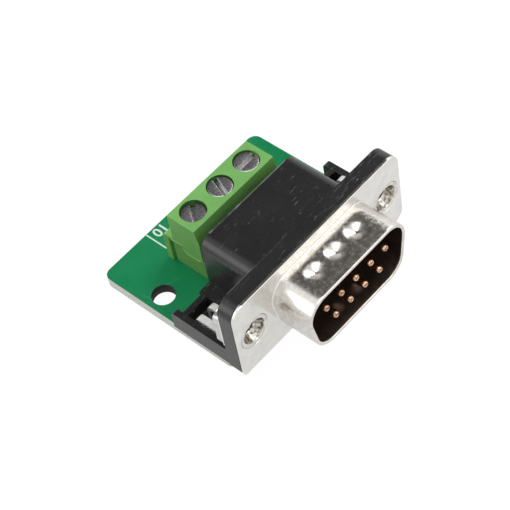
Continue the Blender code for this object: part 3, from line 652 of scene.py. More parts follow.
class Finishes:
    """Every finish of the adapter, each made once."""

    def __init__(self) -> None:
        self.nickel = Plating(
            "bright nickel", (0.84, 0.825, 0.79), (0.77, 0.755, 0.72), (0.16, 0.24),
            0.0005 * MM, 0.004 * MM, 1.6 * MM,
        ).make()
        self.drawn = Plating(
            "drawn nickel", (0.8, 0.77, 0.725), (0.66, 0.63, 0.585), (0.17, 0.3),
            0.004 * MM, 0.004 * MM, 0.5 * MM, 0.11 * MM,
        ).make()
        # Darker brownish nickel for the mouth's inner walls: painted shade, since the plating itself is the
        # same as outside.
        self.inside = Plating(
            "nickel inside the mouth", (0.3, 0.24, 0.2), (0.2, 0.15, 0.12), (0.3, 0.4),
            0.002 * MM, 0.006 * MM,
        ).make()
        self.insert = Plating(
            "insert plating", (0.82, 0.8, 0.76), (0.62, 0.59, 0.53), (0.16, 0.3),
            0.0015 * MM, 0.006 * MM, 0.5 * MM,
        ).make()
        # Thread and countersink of the inserts, mottled almost black: painted shade inside the bore.
        self.threads = Plating(
            "insert thread", (0.72, 0.69, 0.63), (0.07, 0.055, 0.038), (0.12, 0.25),
            0.004 * MM, 0.03 * MM, 0.45 * MM,
        ).make()
        self.zinc = Plating(
            "satin zinc", (0.72, 0.72, 0.71), (0.56, 0.56, 0.56), (0.28, 0.46),
            0.006 * MM, 0.01 * MM,
        ).make()
        self.strap = Plating(
            "matt tin", (0.95, 0.95, 0.94), (0.82, 0.82, 0.81), (0.5, 0.66),
            0.004 * MM, 0.006 * MM,
        ).make()
        self.screw = Plating(
            "screw steel", (0.5, 0.48, 0.5), (0.15, 0.14, 0.15), (0.3, 0.44),
            0.008 * MM, 0.015 * MM, 0.3 * MM,
        ).make()
        self.burr = Plating(
            "bright screw edge", (0.97, 0.97, 0.98), (0.85, 0.85, 0.87), (0.4, 0.5),
            0.008 * MM, 0.01 * MM, 0.3 * MM,
        ).make()
        self.gold = Plating(
            "contact gold", (0.92, 0.64, 0.47), (0.2, 0.09, 0.045), (0.16, 0.3),
            0.006 * MM, 0.01 * MM, 0.22 * MM,
        ).make()
        self.tin = Plating(
            "tin", (0.74, 0.74, 0.72), (0.58, 0.58, 0.57), (0.2, 0.4),
            0.006 * MM, 0.02 * MM, 0.5 * MM,
        ).make()
        self.black = Moulding(
            "black moulding", (0.013, 0.013, 0.0135), (0.019, 0.019, 0.02), (0.26, 0.36),
            (0.42, 0.42, 0.43), 0.9, 0.006 * MM,
        ).make()
        # Lighter grey on the bracket's rounded edges: part wear, part painted highlight.
        self.worn = Moulding(
            "worn black edge", (0.03, 0.03, 0.032), (0.22, 0.22, 0.225), (0.22, 0.32),
            (0.6, 0.6, 0.6), 1.0, 0.004 * MM,
        ).make()
        # Light grey for the thin flash lines on the bracket's top edges: part scuffing, part painted
        # highlight.
        self.scuffed_with_highlight = Moulding(
            "scuffed black edge", (0.06, 0.06, 0.06), (0.34, 0.34, 0.34), (0.3, 0.4),
            (0.7, 0.7, 0.7), 1.0, 0.004 * MM,
        ).make()
        self.insulator = Moulding(
            "insulator moulding", (0.012, 0.006, 0.004), (0.018, 0.009, 0.006), (0.45, 0.6),
            (0.12, 0.06, 0.04), 0.5, 0.004 * MM,
        ).make()
        self.green = Moulding(
            "green moulding", (0.19, 0.475, 0.115), (0.16, 0.42, 0.1), (0.42, 0.54),
            (0.34, 0.62, 0.24), 0.35, 0.004 * MM, 0.12,
        ).make()
        # Lighter green on the block's rounded edges and on the lines along its end steps: painted
        # highlight.
        self.green_edge_highlight = Moulding(
            "green edge", (0.36, 0.68, 0.25), (0.28, 0.6, 0.19), (0.35, 0.45),
            (0.5, 0.75, 0.4), 0.5, 0.003 * MM,
        ).make()
        # Pale green on the rounded rims of the screws' wells: painted highlight.
        self.green_rim_highlight = Moulding(
            "green well rim", (0.55, 0.8, 0.45), (0.42, 0.68, 0.32), (0.3, 0.4),
            (0.8, 0.9, 0.75), 0.5, 0.003 * MM,
        ).make()
        # Darker green for the recess floors in the block's ends: painted shade.
        self.green_recess_shade = Moulding(
            "green in the ends", (0.165, 0.4, 0.095), (0.13, 0.33, 0.075), (0.5, 0.6),
            (0.3, 0.5, 0.2), 0.4, 0.006 * MM, 0.1,
        ).make()
        # Dark green inside the screws' wells: painted shade.
        self.green_well_shade = Moulding(
            "green in the wells", (0.03, 0.11, 0.02), (0.05, 0.16, 0.03), (0.5, 0.6),
            (0.1, 0.25, 0.08), 0.3, 0.004 * MM,
        ).make()
        self.mask = MaskCoat("green mask", (0.001, 0.23, 0.08), (0.002, 0.26, 0.095)).make()
        self.track = MaskCoat("mask over copper", (0.015, 0.3, 0.11), (0.02, 0.33, 0.13)).make()
        self.laminate = CutLaminate("laminate edge", (0.86, 0.87, 0.8), (0.94, 0.94, 0.9)).make()
        # Near-black hole walls, far darker than the pale cut edge of the same laminate: painted shade
        # inside the holes.
        self.drilled = CutLaminate("drilled wall", (0.003, 0.005, 0.003), (0.012, 0.016, 0.01)).make()
        self.print = Ink("printed legend", (0.74, 0.86, 0.78), (0.25, 0.55, 0.38)).make()


def hand_over(piece: Piece, slot: Slot, *replaced: str, body: str = ROOT) -> None:
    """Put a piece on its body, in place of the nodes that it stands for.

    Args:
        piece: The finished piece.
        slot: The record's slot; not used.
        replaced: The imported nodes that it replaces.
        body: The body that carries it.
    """
    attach(piece, body)
    if replaced:
        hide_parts(*replaced)
    LOG.info("%s rides on %s", piece.name, body)


@dataclass(frozen=True)
class Plug:
    """The plug: pressed shell, insulator, nine pins, two threaded inserts and their nuts."""

    frame: dict
    finishes: Finishes
    sheet: float = 0.5 * MM
    bend: float = 0.16 * MM
    lip_round: float = 0.2 * MM
    mouth_width: float = 16.92 * MM
    mouth_height: float = 8.36 * MM
    mouth_corner: float = 2.6 * MM
    mouth_slope: float = 10.0
    flange_corner: float = 2.0 * MM
    tight_corner: float = 0.5 * MM
    flange_ease: float = 0.09 * MM
    lock_spacing: float = 24.99 * MM
    lock_barrel: float = 4.0 * MM
    lock_head: float = 4.7 * MM
    lock_mouth: float = 3.7 * MM
    lock_gap: float = 0.09 * MM
    lock_bore: float = 2.85 * MM
    lock_ease: float = 0.14 * MM
    thread_pitch: float = 0.635 * MM
    thread_depth: float = 0.3 * MM
    gap: float = 0.02 * MM
    dimple_pitch: float = 3.75 * MM
    dimple_radius: float = 1.65 * MM
    dimple_depth: float = 0.47 * MM
    dimple_flare: float = 1.3
    dimple_reach: float = 2.8 * MM
    pin_pitch: float = 2.77 * MM
    row_spacing: float = 2.84 * MM
    pin_diameter: float = 1.0 * MM
    wire_diameter: float = 0.7 * MM
    wire_bend: float = 1.0 * MM
    rim: float = 0.3 * MM
    rim_front: float = 0.52 * MM
    boss_front: float = 0.6 * MM
    boss_gap: float = 0.05 * MM
    boss_ease: float = 0.12 * MM
    funnel: float = 0.16 * MM
    nose: tuple[Point, ...] = (
        (1.0, 0.5), (0.97, 0.3), (0.88, 0.12), (0.76, 0.0),
        (0.66, -0.05), (0.56, -0.03), (0.48, 0.05), (0.44, 0.35),
    )
    shoulder_length: float = 0.1 * MM
    shoulder_drop: float = 0.08 * MM
    tail_point: float = 0.12 * MM
    insert_ease: float = 0.05 * MM
    insert_lead: Pair = (0.12 * MM, 0.55 * MM)
    insert_chamfer: float = 0.2 * MM
    insert_thread: Pair = (0.9 * MM, 0.3 * MM)
    nut_edge: float = 0.08 * MM
    small_sides: int = 24
    pin_sides: int = 20
    bore_sides: int = 48
    insert_sides: int = 64

    @cached_property
    def axis(self) -> float:
        """Return the height of the plug's centre line."""
        low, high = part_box("dsub_shell")
        return (low.z + high.z) / 2

    @cached_property
    def front(self) -> float:
        """Return the Y of the flange's front face."""
        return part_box("dsub_shell")[1].y - self.sheet

    def mouth(
        self, growth: float, corner: int = CORNER_STEPS, top: int = 56, side: int = 8, bottom: int = 46,
    ) -> list[Point]:
        """Return the D outline round the centre line.

        Args:
            growth: How far it stands outside the mouth's inner wall.
            corner, top, side, bottom: How many parts each corner and each straight has.

        Returns:
            The outline's points.
        """
        radius = self.mouth_corner + growth
        high = self.mouth_height / 2 - self.mouth_corner
        top_x = self.mouth_width / 2 - self.mouth_corner
        bottom_x = top_x - 2 * high * math.tan(math.radians(self.mouth_slope))
        z = self.axis
        corners = [
            arc(top_x, z + high, radius, -self.mouth_slope, 90, corner),
            arc(-top_x, z + high, radius, 90, 180 + self.mouth_slope, corner),
            arc(-bottom_x, z - high, radius, 180 + self.mouth_slope, 270, corner),
            arc(bottom_x, z - high, radius, 270, 360 - self.mouth_slope, corner),
        ]
        points = []
        for turn, following, parts in zip(corners, corners[1:] + corners[:1], (top, side, bottom, side)):
            start, end = Vector(turn[-1]), Vector(following[0])
            points += turn + [tuple(start.lerp(end, i / parts)) for i in range(1, parts)]
        return points

    def lock_places(self) -> dict[str, Point]:
        """Return the centre of each threaded insert."""
        half = self.lock_spacing / 2
        return {"left": (-half, self.axis), "right": (half, self.axis)}

    def shell_stations(self) -> list[Point]:
        """Return the sheet's section as (growth, Y) pairs, from the front round the lip to the back."""
        front, lip = self.front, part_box("dsub_shell")[0].y
        wall = front - self.bend
        turn, straight, edge = 8, 26, self.lip_round
        stations = arc(self.sheet + self.bend, wall, self.bend, 90, 180, turn)
        stations += [(self.sheet, wall + (lip + edge - wall) * i / straight) for i in range(1, straight)]
        stations += arc(self.sheet - edge, lip + edge, edge, 0, -90, EASE_STEPS)
        stations += arc(edge, lip + edge, edge, -90, -180, EASE_STEPS)
        stations += [(0, lip + edge + (wall - lip - edge) * i / straight) for i in range(1, straight)]
        return stations + arc(self.sheet + self.bend, wall, self.sheet + self.bend, 180, 90, turn)

    def press_dimples(self, form: Form) -> None:
        """Press the dimples into the mouth's top and bottom walls."""
        y = self.front - self.dimple_reach
        half = self.mouth_height / 2
        for count, up in ((3, 1), (2, -1)):
            centres = [Vector(((i - (count - 1) / 2) * self.dimple_pitch, y)) for i in range(count)]
            for corner in form.mesh.verts:
                if up * (corner.co.z - self.axis) < half - self.gap:
                    continue
                distance = min((corner.co.xy - centre).length for centre in centres)
                if distance < self.dimple_radius:
                    share = distance / self.dimple_radius
                    corner.co.z -= up * self.dimple_depth * (1 - share) ** self.dimple_flare

    def shell(self) -> Piece:
        """Press the shell from sheet."""
        form = Form()
        first, last = form.loft([upright(self.mouth(growth), y) for growth, y in self.shell_stations()])
        self.press_dimples(form)
        low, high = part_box("dsub_shell")
        back, ease = high.y, self.flange_ease
        edge_rings = []
        for inset, y in ((ease, self.front), (0, self.front + ease), (0, back - ease), (ease, back)):
            outline = rounded_rectangle(
                (0, self.axis), high.x - low.x - 2 * inset, high.z - low.z - 2 * inset,
                self.flange_corner - inset, CORNER_STEPS, self.tight_corner - inset,
            )
            edge_rings.append(upright(outline, y))
        walls = [(first, last), form.loft(edge_rings)]
        for place in self.lock_places().values():
            wide, narrow = self.lock_head / 2 + self.lock_gap, self.lock_barrel / 2 + self.gap
            walls.append(form.round_wall(place, ((wide, self.front), (narrow, back)), self.bore_sides))
        form.close(walls)
        wall = self.front - self.bend
        form.dress(1, lambda face: face.calc_center_median().y < wall)
        # The inner walls of the mouth take the darker nickel as painted shade.
        form.dress(2, lambda face: face.calc_center_median().y < wall and self.faces_in(face))
        finishes = [self.finishes.nickel, self.finishes.drawn, self.finishes.inside]
        return form.finish("plug_shell", finishes, smooth=50)

    def faces_in(self, face: Face) -> bool:
        """Say whether a face of the mouth looks towards the mouth's centre line."""
        middle = face.calc_center_median()
        inwards = Vector((-middle.x, 0, self.axis - middle.z))
        return abs(face.normal.y) < LEANING and face.normal.dot(inwards) > 0

    def insulator(self) -> Piece:
        """Mould the insulator, with a small funnel round each pin."""
        form = Form()
        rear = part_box("dsub_insulator")[1].y
        front, step = self.front - self.boss_front, self.front + self.rim_front
        boss, ease, rim = -self.boss_gap, self.boss_ease, self.rim
        stations = [(boss - ease, front), (boss, front + ease), (boss, step), (rim, step), (rim, rear)]
        walls = [form.loft([upright(self.mouth(growth, 8, 4, 2, 4), y) for growth, y in stations])]
        radius = self.pin_diameter / 2 + self.gap
        for place in self.pin_axes().values():
            bore = ((radius + self.funnel, front), (radius, front + self.funnel), (radius, rear))
            walls.append(form.round_wall(place, bore, self.small_sides))
        return form.close(walls).finish("plug_insulator", [self.finishes.insulator], smooth=35)

    def pin_axes(self) -> dict[int, Point]:
        """Return each pin's X and height, by its number."""
        places = {}
        for first, count, rise in ((1, 5, 0.5), (6, 4, -0.5)):
            z = self.axis + rise * self.row_spacing
            for i in range(count):
                places[first + i] = ((i - (count - 1) / 2) * self.pin_pitch, z)
        return places

    def pin(self, number: int) -> Piece:
        """Draw one right-angled pin, from its round nose to the tip of its tail."""
        low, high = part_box(f"pin_{number}")
        x, z = self.pin_axes()[number]
        thick, thin = self.pin_diameter / 2, self.wire_diameter / 2
        row = high.y - thin
        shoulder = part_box("dsub_insulator")[1].y
        path = [(low.y + along * MM, z, thick * share) for share, along in reversed(self.nose)]
        path += [(shoulder - self.shoulder_length, z, thick), (shoulder, z, thick - self.shoulder_drop)]
        path.append((shoulder + self.gap, z, thin))
        bend = arc(row - self.wire_bend, z - self.wire_bend, self.wire_bend, 90, 0, CORNER_STEPS)
        path += [(y, height, thin) for y, height in bend]
        path += [(row, self.tail_point, thin), (row, 0, thin - self.tail_point)]
        points = [Vector((x, y, height)) for y, height, _ in path]
        rings = []
        for i, (point, (_, _, radius)) in enumerate(zip(points, path)):
            ahead = Vector((0, 1, 0))
            if i > len(self.nose):
                ahead = (points[min(i + 1, len(points) - 1)] - points[i - 1]).normalized()
            over = ahead.cross(Vector((1, 0, 0)))
            ring = circle(0, 0, radius, self.pin_sides)
            rings.append([point + Vector((u, 0, 0)) + v * over for u, v in ring])
        form = Form()
        return form.close([form.loft(rings)]).finish(f"plug_pin_{number}", [self.finishes.gold], smooth=50)

    @staticmethod
    def in_bore(middle: Vector, centre: Vector, within: float, front: float) -> bool:
        """Say whether a face's middle lies inside an insert's bore, behind its front edge."""
        reach = (Vector((middle.x, middle.z)) - centre).length
        return middle.y > front and reach < within

    def insert(self, word: str) -> Piece:
        """Turn one threaded insert with its flush round head."""
        low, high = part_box(f"lock_insert_{word}")
        face_y, seat, end = low.y, self.front + self.sheet, high.y
        ease = self.insert_ease
        bore, mouth, barrel = self.lock_bore / 2, self.lock_mouth / 2, self.lock_barrel / 2
        first, last = face_y + self.insert_thread[0], end - self.insert_thread[1]
        profile = thread(bore, bore - self.thread_depth, self.thread_pitch, last, first)
        profile.append((bore + self.insert_lead[0], face_y + self.insert_lead[1]))
        profile += arc(mouth + ease, face_y + 2 * ease, 2 * ease, 200, 270, EASE_STEPS)
        profile += arc(self.lock_head / 2 - ease, face_y + ease, ease, -90, 0, EASE_STEPS)
        profile += [(barrel, seat), (barrel, end - ease), (barrel - ease, end)]
        profile.append((bore + self.insert_chamfer, end))
        place = self.lock_places()[word]
        form = Form().turn(Axis.Y, place, profile, self.insert_sides)
        within, front = mouth + self.lock_ease, face_y + self.lock_ease
        # Faces inside the bore, countersink included, take the finish with painted shade.
        form.dress(1, lambda face: self.in_bore(face.calc_center_median(), Vector(place), within, front))
        finishes = [self.finishes.insert, self.finishes.threads]
        return form.finish(f"lock_insert_body_{word}", finishes, smooth=35)

    def build(self) -> None:
        """Make the whole plug."""
        hand_over(self.shell(), Slot.NICKEL, "dsub_shell")
        hand_over(self.insulator(), Slot.INSULATOR, "dsub_insulator")
        for number in self.pin_axes():
            hand_over(self.pin(number), Slot.GOLD, f"pin_{number}")
        for word in self.lock_places():
            hand_over(self.insert(word), Slot.NICKEL, f"lock_insert_{word}")
            node = f"lock_nut_{word}"
            nut = Form.from_node(self.frame["nodes"][node]).soften(self.nut_edge)
            hand_over(nut.finish(f"lock_nut_body_{word}", [self.finishes.zinc]), Slot.ZINC, node)


@dataclass(frozen=True)
class Bracket:
    """The black bracket with its hood and wings, and the two earth straps in it."""

    frame: dict
    finishes: Finishes
    edge: float = 0.13 * MM
    flash: float = 0.11 * MM
    flash_line: float = 0.066 * MM
    sheet: float = 0.5 * MM
    flange_thickness: float = 2.1 * MM
    flange_half: float = 13.3 * MM
    hood_back: float = 11.4 * MM
    hood_height: float = 11.15 * MM
    hood_half: float = 7.1 * MM
    strap_edge: float = 0.06 * MM

    def edge_highlight_lines(self) -> Piece:
        """Lay the thin flash along the top edges of the flange's back and of the hood's end, light grey:
        part scuffed flash, part painted highlight along those edges.
        """
        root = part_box("dsub_shell")[1].y
        top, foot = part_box("bracket")[1].z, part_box("board")[1].z
        lines = (
            (self.flange_half, root + self.flange_thickness, top, -MERGE),
            (self.hood_half, root - self.sheet + self.hood_back, foot + self.hood_height, self.flash / 4),
        )
        form = Form()
        for half, back, level, rise in lines:
            path = [(side * half, back - self.flash_line) for side in (-1, 1)]
            form.draw_out(Axis.Z, level - self.flash, level + rise, ribbon(path, self.flash))
        return form.outwards().finish("bracket_edge_flash", [self.finishes.scuffed_with_highlight])

    def build(self) -> None:
        """Make the bracket and its straps."""
        hand_over(self.edge_highlight_lines(), Slot.BLACK)
        # The rounded edges take the lighter finish: wear with a painted highlight along them.
        moulding = Form.from_node(self.frame["nodes"]["bracket"]).soften(self.edge, angle=35, finish=1)
        finishes = [self.finishes.black, self.finishes.worn]
        hand_over(moulding.finish("bracket_moulding", finishes), Slot.BLACK, "bracket")
        for word in ("left", "right"):
            node = f"earth_strap_{word}"
            strap = Form.from_node(self.frame["nodes"][node]).soften(self.strap_edge, segments=2, angle=40)
            hand_over(strap.finish(f"strap_body_{word}", [self.finishes.strap]), Slot.ZINC, node)


@dataclass(frozen=True)
class TerminalBlock:
    """The green terminal block with its screws, rising cages and contacts."""

    frame: dict
    finishes: Finishes
    edge: float = 0.1 * MM
    small_edge: float = 0.05 * MM
    head: float = 3.3 * MM
    head_height: float = 1.3 * MM
    shank: float = 2.5 * MM
    thread_pitch: float = 0.45 * MM
    thread_depth: float = 0.22 * MM
    cage_top: float = 1.2 * MM
    slot_width: float = 0.65 * MM
    slot_depth: float = 0.8 * MM
    slot_edge: float = 0.13 * MM
    slot_turns: tuple[float, ...] = (51.0, 70.0, 1.0)
    line: float = 0.1 * MM
    line_rise: float = 0.05 * MM
    end_step: tuple[Point, ...] = ((9.3, 4.7), (7.2, 5.0), (7.2, 4.15), (6.3, 3.6), (4.3, 3.8))
    recess: float = 1.0 * MM
    screw_ease: float = 0.12 * MM
    screw_thread: Pair = (0.15 * MM, 0.3 * MM)
    slot_reach: float = 1.5345 * MM
    rim_reach: float = 2.046 * MM
    well_reach: float = 1.848 * MM
    sides: int = 64

    def screw(self, number: int, turn: float) -> Piece:
        """Turn and slot one clamp screw.

        Args:
            number: The pole's number.
            turn: The slot's direction, in degrees from X.

        Returns:
            The screw.
        """
        low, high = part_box(f"terminal_screw_{number}")
        x, y = middle_of(f"terminal_screw_{number}")
        top, base = high.z, high.z - self.head_height
        head, crest, ease = self.head / 2, self.shank / 2, self.screw_ease
        root = crest - self.thread_depth
        first, last = low.z + self.screw_thread[0], base - self.screw_thread[1]
        profile = [(0, low.z), (root, low.z)] + thread(root, crest, self.thread_pitch, first, last)
        profile += [(root, base), (head - ease, base), (head, base + ease)]
        profile += arc(head - ease, top - ease, ease, 0, 90, EASE_STEPS) + [(0, top)]
        turned = Form().turn(Axis.Z, (x, y), profile, self.sides).finish("blank", [self.finishes.screw])
        tool = Form().draw_out(
            Axis.Z, top - self.slot_depth, top + MM,
            rounded_rectangle((0, 0), 2 * self.head, self.slot_width, self.edge, steps=2),
        )
        placing = Matrix.Translation((x, y, 0)) @ Matrix.Rotation(math.radians(turn), 4, "Z")
        bmesh.ops.transform(tool.mesh, matrix=placing, verts=tool.mesh.verts[:])
        cut(turned, tool.finish("slot", [self.finishes.screw]))
        form = Form()
        form.mesh.from_mesh(turned.data)
        bpy.data.objects.remove(turned, do_unlink=True)
        form.weld()
        brim = base + ease
        form.dress(1, lambda face: self.in_slot(face, x, y, top))
        form.soften(self.slot_edge, angle=50, where=lambda middle: middle.z > brim, finish=1)
        form.dress(1, lambda face: BENT < face.normal.z < FACING and face.calc_center_median().z > brim)
        return form.finish(f"clamp_screw_{number}", [self.finishes.screw, self.finishes.burr], smooth=40)

    def cage(self, number: int) -> Piece:
        """Round a cage's edges, apart from those round its window's ceiling.

        The tapped hole is as wide as the window there, so a rounding would fold over the hole.
        """
        node = f"clamp_cage_{number}"
        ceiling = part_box(node)[1].z - self.cage_top
        form = Form.from_node(self.frame["nodes"][node])
        form.soften(
            self.small_edge, segments=2, angle=40,
            where=lambda middle: abs(middle.z - ceiling) > self.small_edge,
        )
        return form.finish(f"clamp_cage_body_{number}", [self.finishes.zinc])

    def in_slot(self, face: Face, x: float, y: float, top: float) -> bool:
        """Say whether a face is a wall of the slot of a screw about (x, y)."""
        middle = face.calc_center_median()
        if abs(face.normal.z) > LEANING or not top - self.slot_depth < middle.z < top:
            return False
        return (middle.xy - Vector((x, y))).length < self.slot_reach

    # The faces picked here take the pale green, a painted highlight round each well.
    def on_rim(self, face: Face) -> bool:
        """Say whether a face of the housing lies on the rounded rim of one of the screws' wells."""
        middle = face.calc_center_median()
        if middle.z < self.top - 1.1 * self.edge or face.normal.z > LEVEL:
            return False
        return self.near_screw(middle, self.rim_reach)

    def in_well(self, face: Face) -> bool:
        """Say whether a face of the housing lies in one of the screws' wells, below its rim."""
        middle = face.calc_center_median()
        if middle.z > self.top - 2 * self.edge:
            return False
        return self.near_screw(middle, self.well_reach)

    def near_screw(self, middle: Vector, reach: float) -> bool:
        """Say whether a place lies within a reach of one of the screws' axes."""
        return any((middle.xy - centre).length < reach for centre in self.screw_centres)

    # The faces picked here take the darker green, painted shade in the recess.
    def in_recess(self, face: Face) -> bool:
        """Say whether a face of the housing is the floor of the recess in one of its ends."""
        x = face.calc_center_median().x
        depth = min(x - self.ends[0], self.ends[1] - x)
        return abs(face.normal.x) > FACING and self.small_edge < depth < self.recess

    def end_highlight_lines(self) -> Piece:
        """Raise a thin light green line along the step in each end of the block, a painted highlight on the
        step's edge.
        """
        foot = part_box("board")[1].z
        path = [(y * MM, foot + height * MM) for y, height in self.end_step]
        form = Form()
        for end, out in zip(self.ends, (-1, 1)):
            span = sorted((end - out * self.line, end + out * self.line_rise))
            form.draw_out(Axis.X, *span, ribbon(path, self.line))
        return form.outwards().finish("terminal_block_end_lines", [self.finishes.green_edge_highlight])

    @cached_property
    def top(self) -> float:
        """Return the height of the block's top."""
        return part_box("terminal_housing")[1].z

    @cached_property
    def ends(self) -> Pair:
        """Return the X of the block's two ends."""
        low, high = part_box("terminal_housing")
        return low.x, high.x

    @cached_property
    def screw_centres(self) -> list[Vector]:
        """Return each screw's axis, seen from above."""
        poles = range(1, len(self.slot_turns) + 1)
        return [Vector(middle_of(f"terminal_screw_{number}")) for number in poles]

    def build(self) -> None:
        """Make the block and the three clamps in it."""
        nodes = self.frame["nodes"]
        # The rounded edges take the lighter green, a painted highlight.
        housing = Form.from_node(nodes["terminal_housing"]).soften(self.edge, angle=35, finish=1)
        # Painted shade in the wells and in the end recesses, a painted highlight on the wells' rims.
        for finish, where in ((2, self.in_well), (4, self.on_rim), (3, self.in_recess)):
            housing.dress(finish, where)
        coats = self.finishes
        greens = [coats.green, coats.green_edge_highlight, coats.green_well_shade, coats.green_recess_shade, coats.green_rim_highlight]
        hand_over(housing.finish("terminal_block_moulding", greens), Slot.GREEN, "terminal_housing")
        hand_over(self.end_highlight_lines(), Slot.GREEN)
        for number, turn in enumerate(self.slot_turns, 1):
            screw, cage = self.screw(number, turn), self.cage(number)
            hand_over(screw, Slot.ZINC, f"terminal_screw_{number}", body=f"screw_{number}")
            hand_over(cage, Slot.ZINC, f"clamp_cage_{number}", body=f"cage_{number}")
            node = f"clamp_contact_{number}"
            contact = Form.from_node(nodes[node]).soften(self.small_edge, segments=2, angle=40)
            hand_over(contact.finish(f"clamp_contact_body_{number}", [coats.tin]), Slot.TIN, node)


class Tail(Enum):
    """The soldered tails: the width of the hole round each, and the radius inside its solder."""

    PIN = (1.0 * MM, 0.37 * MM)
    CONTACT = (1.42 * MM, 0.59 * MM)
    STRAP = (3.4 * MM, 1.6 * MM)

    @classmethod
    def of(cls, node: str) -> "Tail":
        """Return the kind of tail that a solder node holds."""
        return cls[node.split("_")[1].upper()]


@dataclass(frozen=True)
class CircuitBoard:
    """The board: coated laminate, drilled holes, tracks, pads, solder and a plain printed legend."""

    frame: dict
    finishes: Finishes
    corner: float = 1.2 * MM
    mount_hole: float = 3.2 * MM
    mount_spacing: float = 24.8 * MM
    mount_to_back: float = 8.6 * MM
    edge: float = 0.04 * MM
    drilled_margin: float = 0.3 * MM
    pad_rim: float = 0.16 * MM
    pad_gap: float = 0.02 * MM
    copper: float = 0.035 * MM
    track_width: float = 0.6 * MM
    track_lead: float = 0.9 * MM
    ink: float = 0.015 * MM
    legend_line: float = 0.2 * MM
    legend_half: float = 6.7 * MM
    legend_reach: float = 3.9 * MM
    legend_height: float = 2.1 * MM
    legend_rise: float = 2.15 * MM
    legend_bold: float = 0.035 * MM
    legend_margin: float = 0.1 * MM
    solder_rim: float = 0.05 * MM
    solder_hollow: float = 2.2
    solder_steps: int = 8
    wired_pins: tuple[int, ...] = (2, 3, 5)
    sides: int = 48
    small_sides: int = 24
    joint_sides: int = 32

    def joints(self) -> dict[str, Point]:
        """Return the centre of every solder joint, by its node's name."""
        names = sorted(name for name in self.frame["nodes"] if name.startswith("solder_"))
        return {name: middle_of(name) for name in names}

    def laminate(self) -> Piece:
        """Cut and drill the board, with its coat on both faces."""
        low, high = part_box("board")
        middle = middle_of("board")
        outline = rounded_rectangle(middle, high.x - low.x, high.y - low.y, self.corner, CORNER_STEPS)
        half, y = self.mount_spacing / 2, high.y - self.mount_to_back
        holes = [circle(x, y, self.mount_hole / 2, self.sides) for x in (-half, half)]
        for name, place in self.joints().items():
            tail = Tail.of(name)
            sides = self.sides if tail is Tail.STRAP else self.small_sides
            holes.append(circle(*place, tail.value[0] / 2, sides))
        form = Form().draw_out(Axis.Z, low.z, high.z, outline, holes)
        form.soften(self.edge, segments=2, angle=60)
        margin = Vector((self.drilled_margin, self.drilled_margin))
        reach = (high - low).xy / 2 - margin
        for face in form.mesh.faces:
            centre = face.calc_center_median().xy - Vector(middle)
            # Hole walls take the near-black finish as painted shade; the outer edge keeps the pale
            # laminate.
            if abs(face.normal.z) < FACING:
                inside = abs(centre.x) < reach.x and abs(centre.y) < reach.y
                face.material_index = 2 if inside else 1
        finishes = [self.finishes.mask, self.finishes.laminate, self.finishes.drilled]
        return form.finish("circuit_board", finishes, smooth=35)

    def tracks(self) -> Piece:
        """Lay the three tracks under the board, from the wired pins to the terminals."""
        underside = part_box("board")[0].z
        form = Form()
        for pole, pin in enumerate(self.wired_pins, 1):
            x, y = middle_of(f"solder_pin_{pin}")
            end_x, end_y = middle_of(f"solder_contact_{pole}")
            path = [(x, y), (end_x, end_y)]
            if abs(end_x - x) > MERGE:
                lead_y = end_y - self.track_lead
                path[1:1] = [(x, lead_y - abs(end_x - x)), (end_x, lead_y)]
            strip = ribbon(path, self.track_width)
            form.draw_out(Axis.Z, underside - self.copper, underside - MERGE, strip)
        return form.finish("copper_tracks", [self.finishes.track])

    def pads(self) -> Piece:
        """Lay the tinned ring round each joint, under the board."""
        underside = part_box("board")[0].z
        form = Form()
        for name, place in self.joints().items():
            low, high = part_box(name)
            radii = ((high.x - low.x) / 2 + self.pad_rim, Tail.of(name).value[0] / 2 + self.pad_gap)
            outer, inner = (circle(*place, radius, self.sides) for radius in radii)
            form.draw_out(Axis.Z, underside - self.copper / 2, underside - MERGE, outer, [inner])
        return form.finish("solder_pads", [self.finishes.tin])

    def legend(self) -> Piece:
        """Print the frame behind the block and a plain number for each terminal."""
        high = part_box("board")[1]
        start = high.y - self.legend_reach
        length = self.legend_reach - self.legend_margin
        form = Form()
        for side in (-1, 1):
            middle = (side * self.legend_half, (start + high.y) / 2)
            line = rounded_rectangle(middle, self.legend_line, length, 0.4 * self.legend_line, steps=3)
            form.draw_out(Axis.Z, high.z + MERGE, high.z + self.ink, line)
        for pole in range(1, len(self.wired_pins) + 1):
            words = bpy.data.curves.new("numeral", "FONT")
            words.body = f"0{pole}"
            words.size = self.legend_height
            words.align_x = "CENTER"
            words.extrude = self.ink / 2
            words.offset = self.legend_bold
            holder = add_object("numeral", words)
            flat = worked_out(holder)
            x = middle_of(f"solder_contact_{pole}")[0]
            place = Vector((x, start + self.legend_rise, high.z + self.ink / 2 + MERGE))
            flat.transform(Matrix.Translation(place))
            form.mesh.from_mesh(flat)
            bpy.data.objects.remove(holder, do_unlink=True)
            bpy.data.meshes.remove(flat)
        form.weld()
        return form.outwards().finish("board_legend", [self.finishes.print])

    def solder(self, node: str, centre: Point) -> Piece:
        """Shape one solder joint as a smooth hollow cone round its tail."""
        low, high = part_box(node)
        inner = Tail.of(node).value[1]
        top = inner + self.solder_rim
        width, height = (high.x - low.x) / 2 - top, high.z - low.z
        profile = [(inner, high.z)]
        for i in range(self.solder_steps + 1):
            share = i / self.solder_steps
            profile.append((top + width * (1 - share) ** self.solder_hollow, high.z - height * share))
        form = Form().turn(Axis.Z, centre, profile + [(inner, low.z)], self.joint_sides)
        return form.finish(node.replace("solder_", "solder_cone_"), [self.finishes.tin])

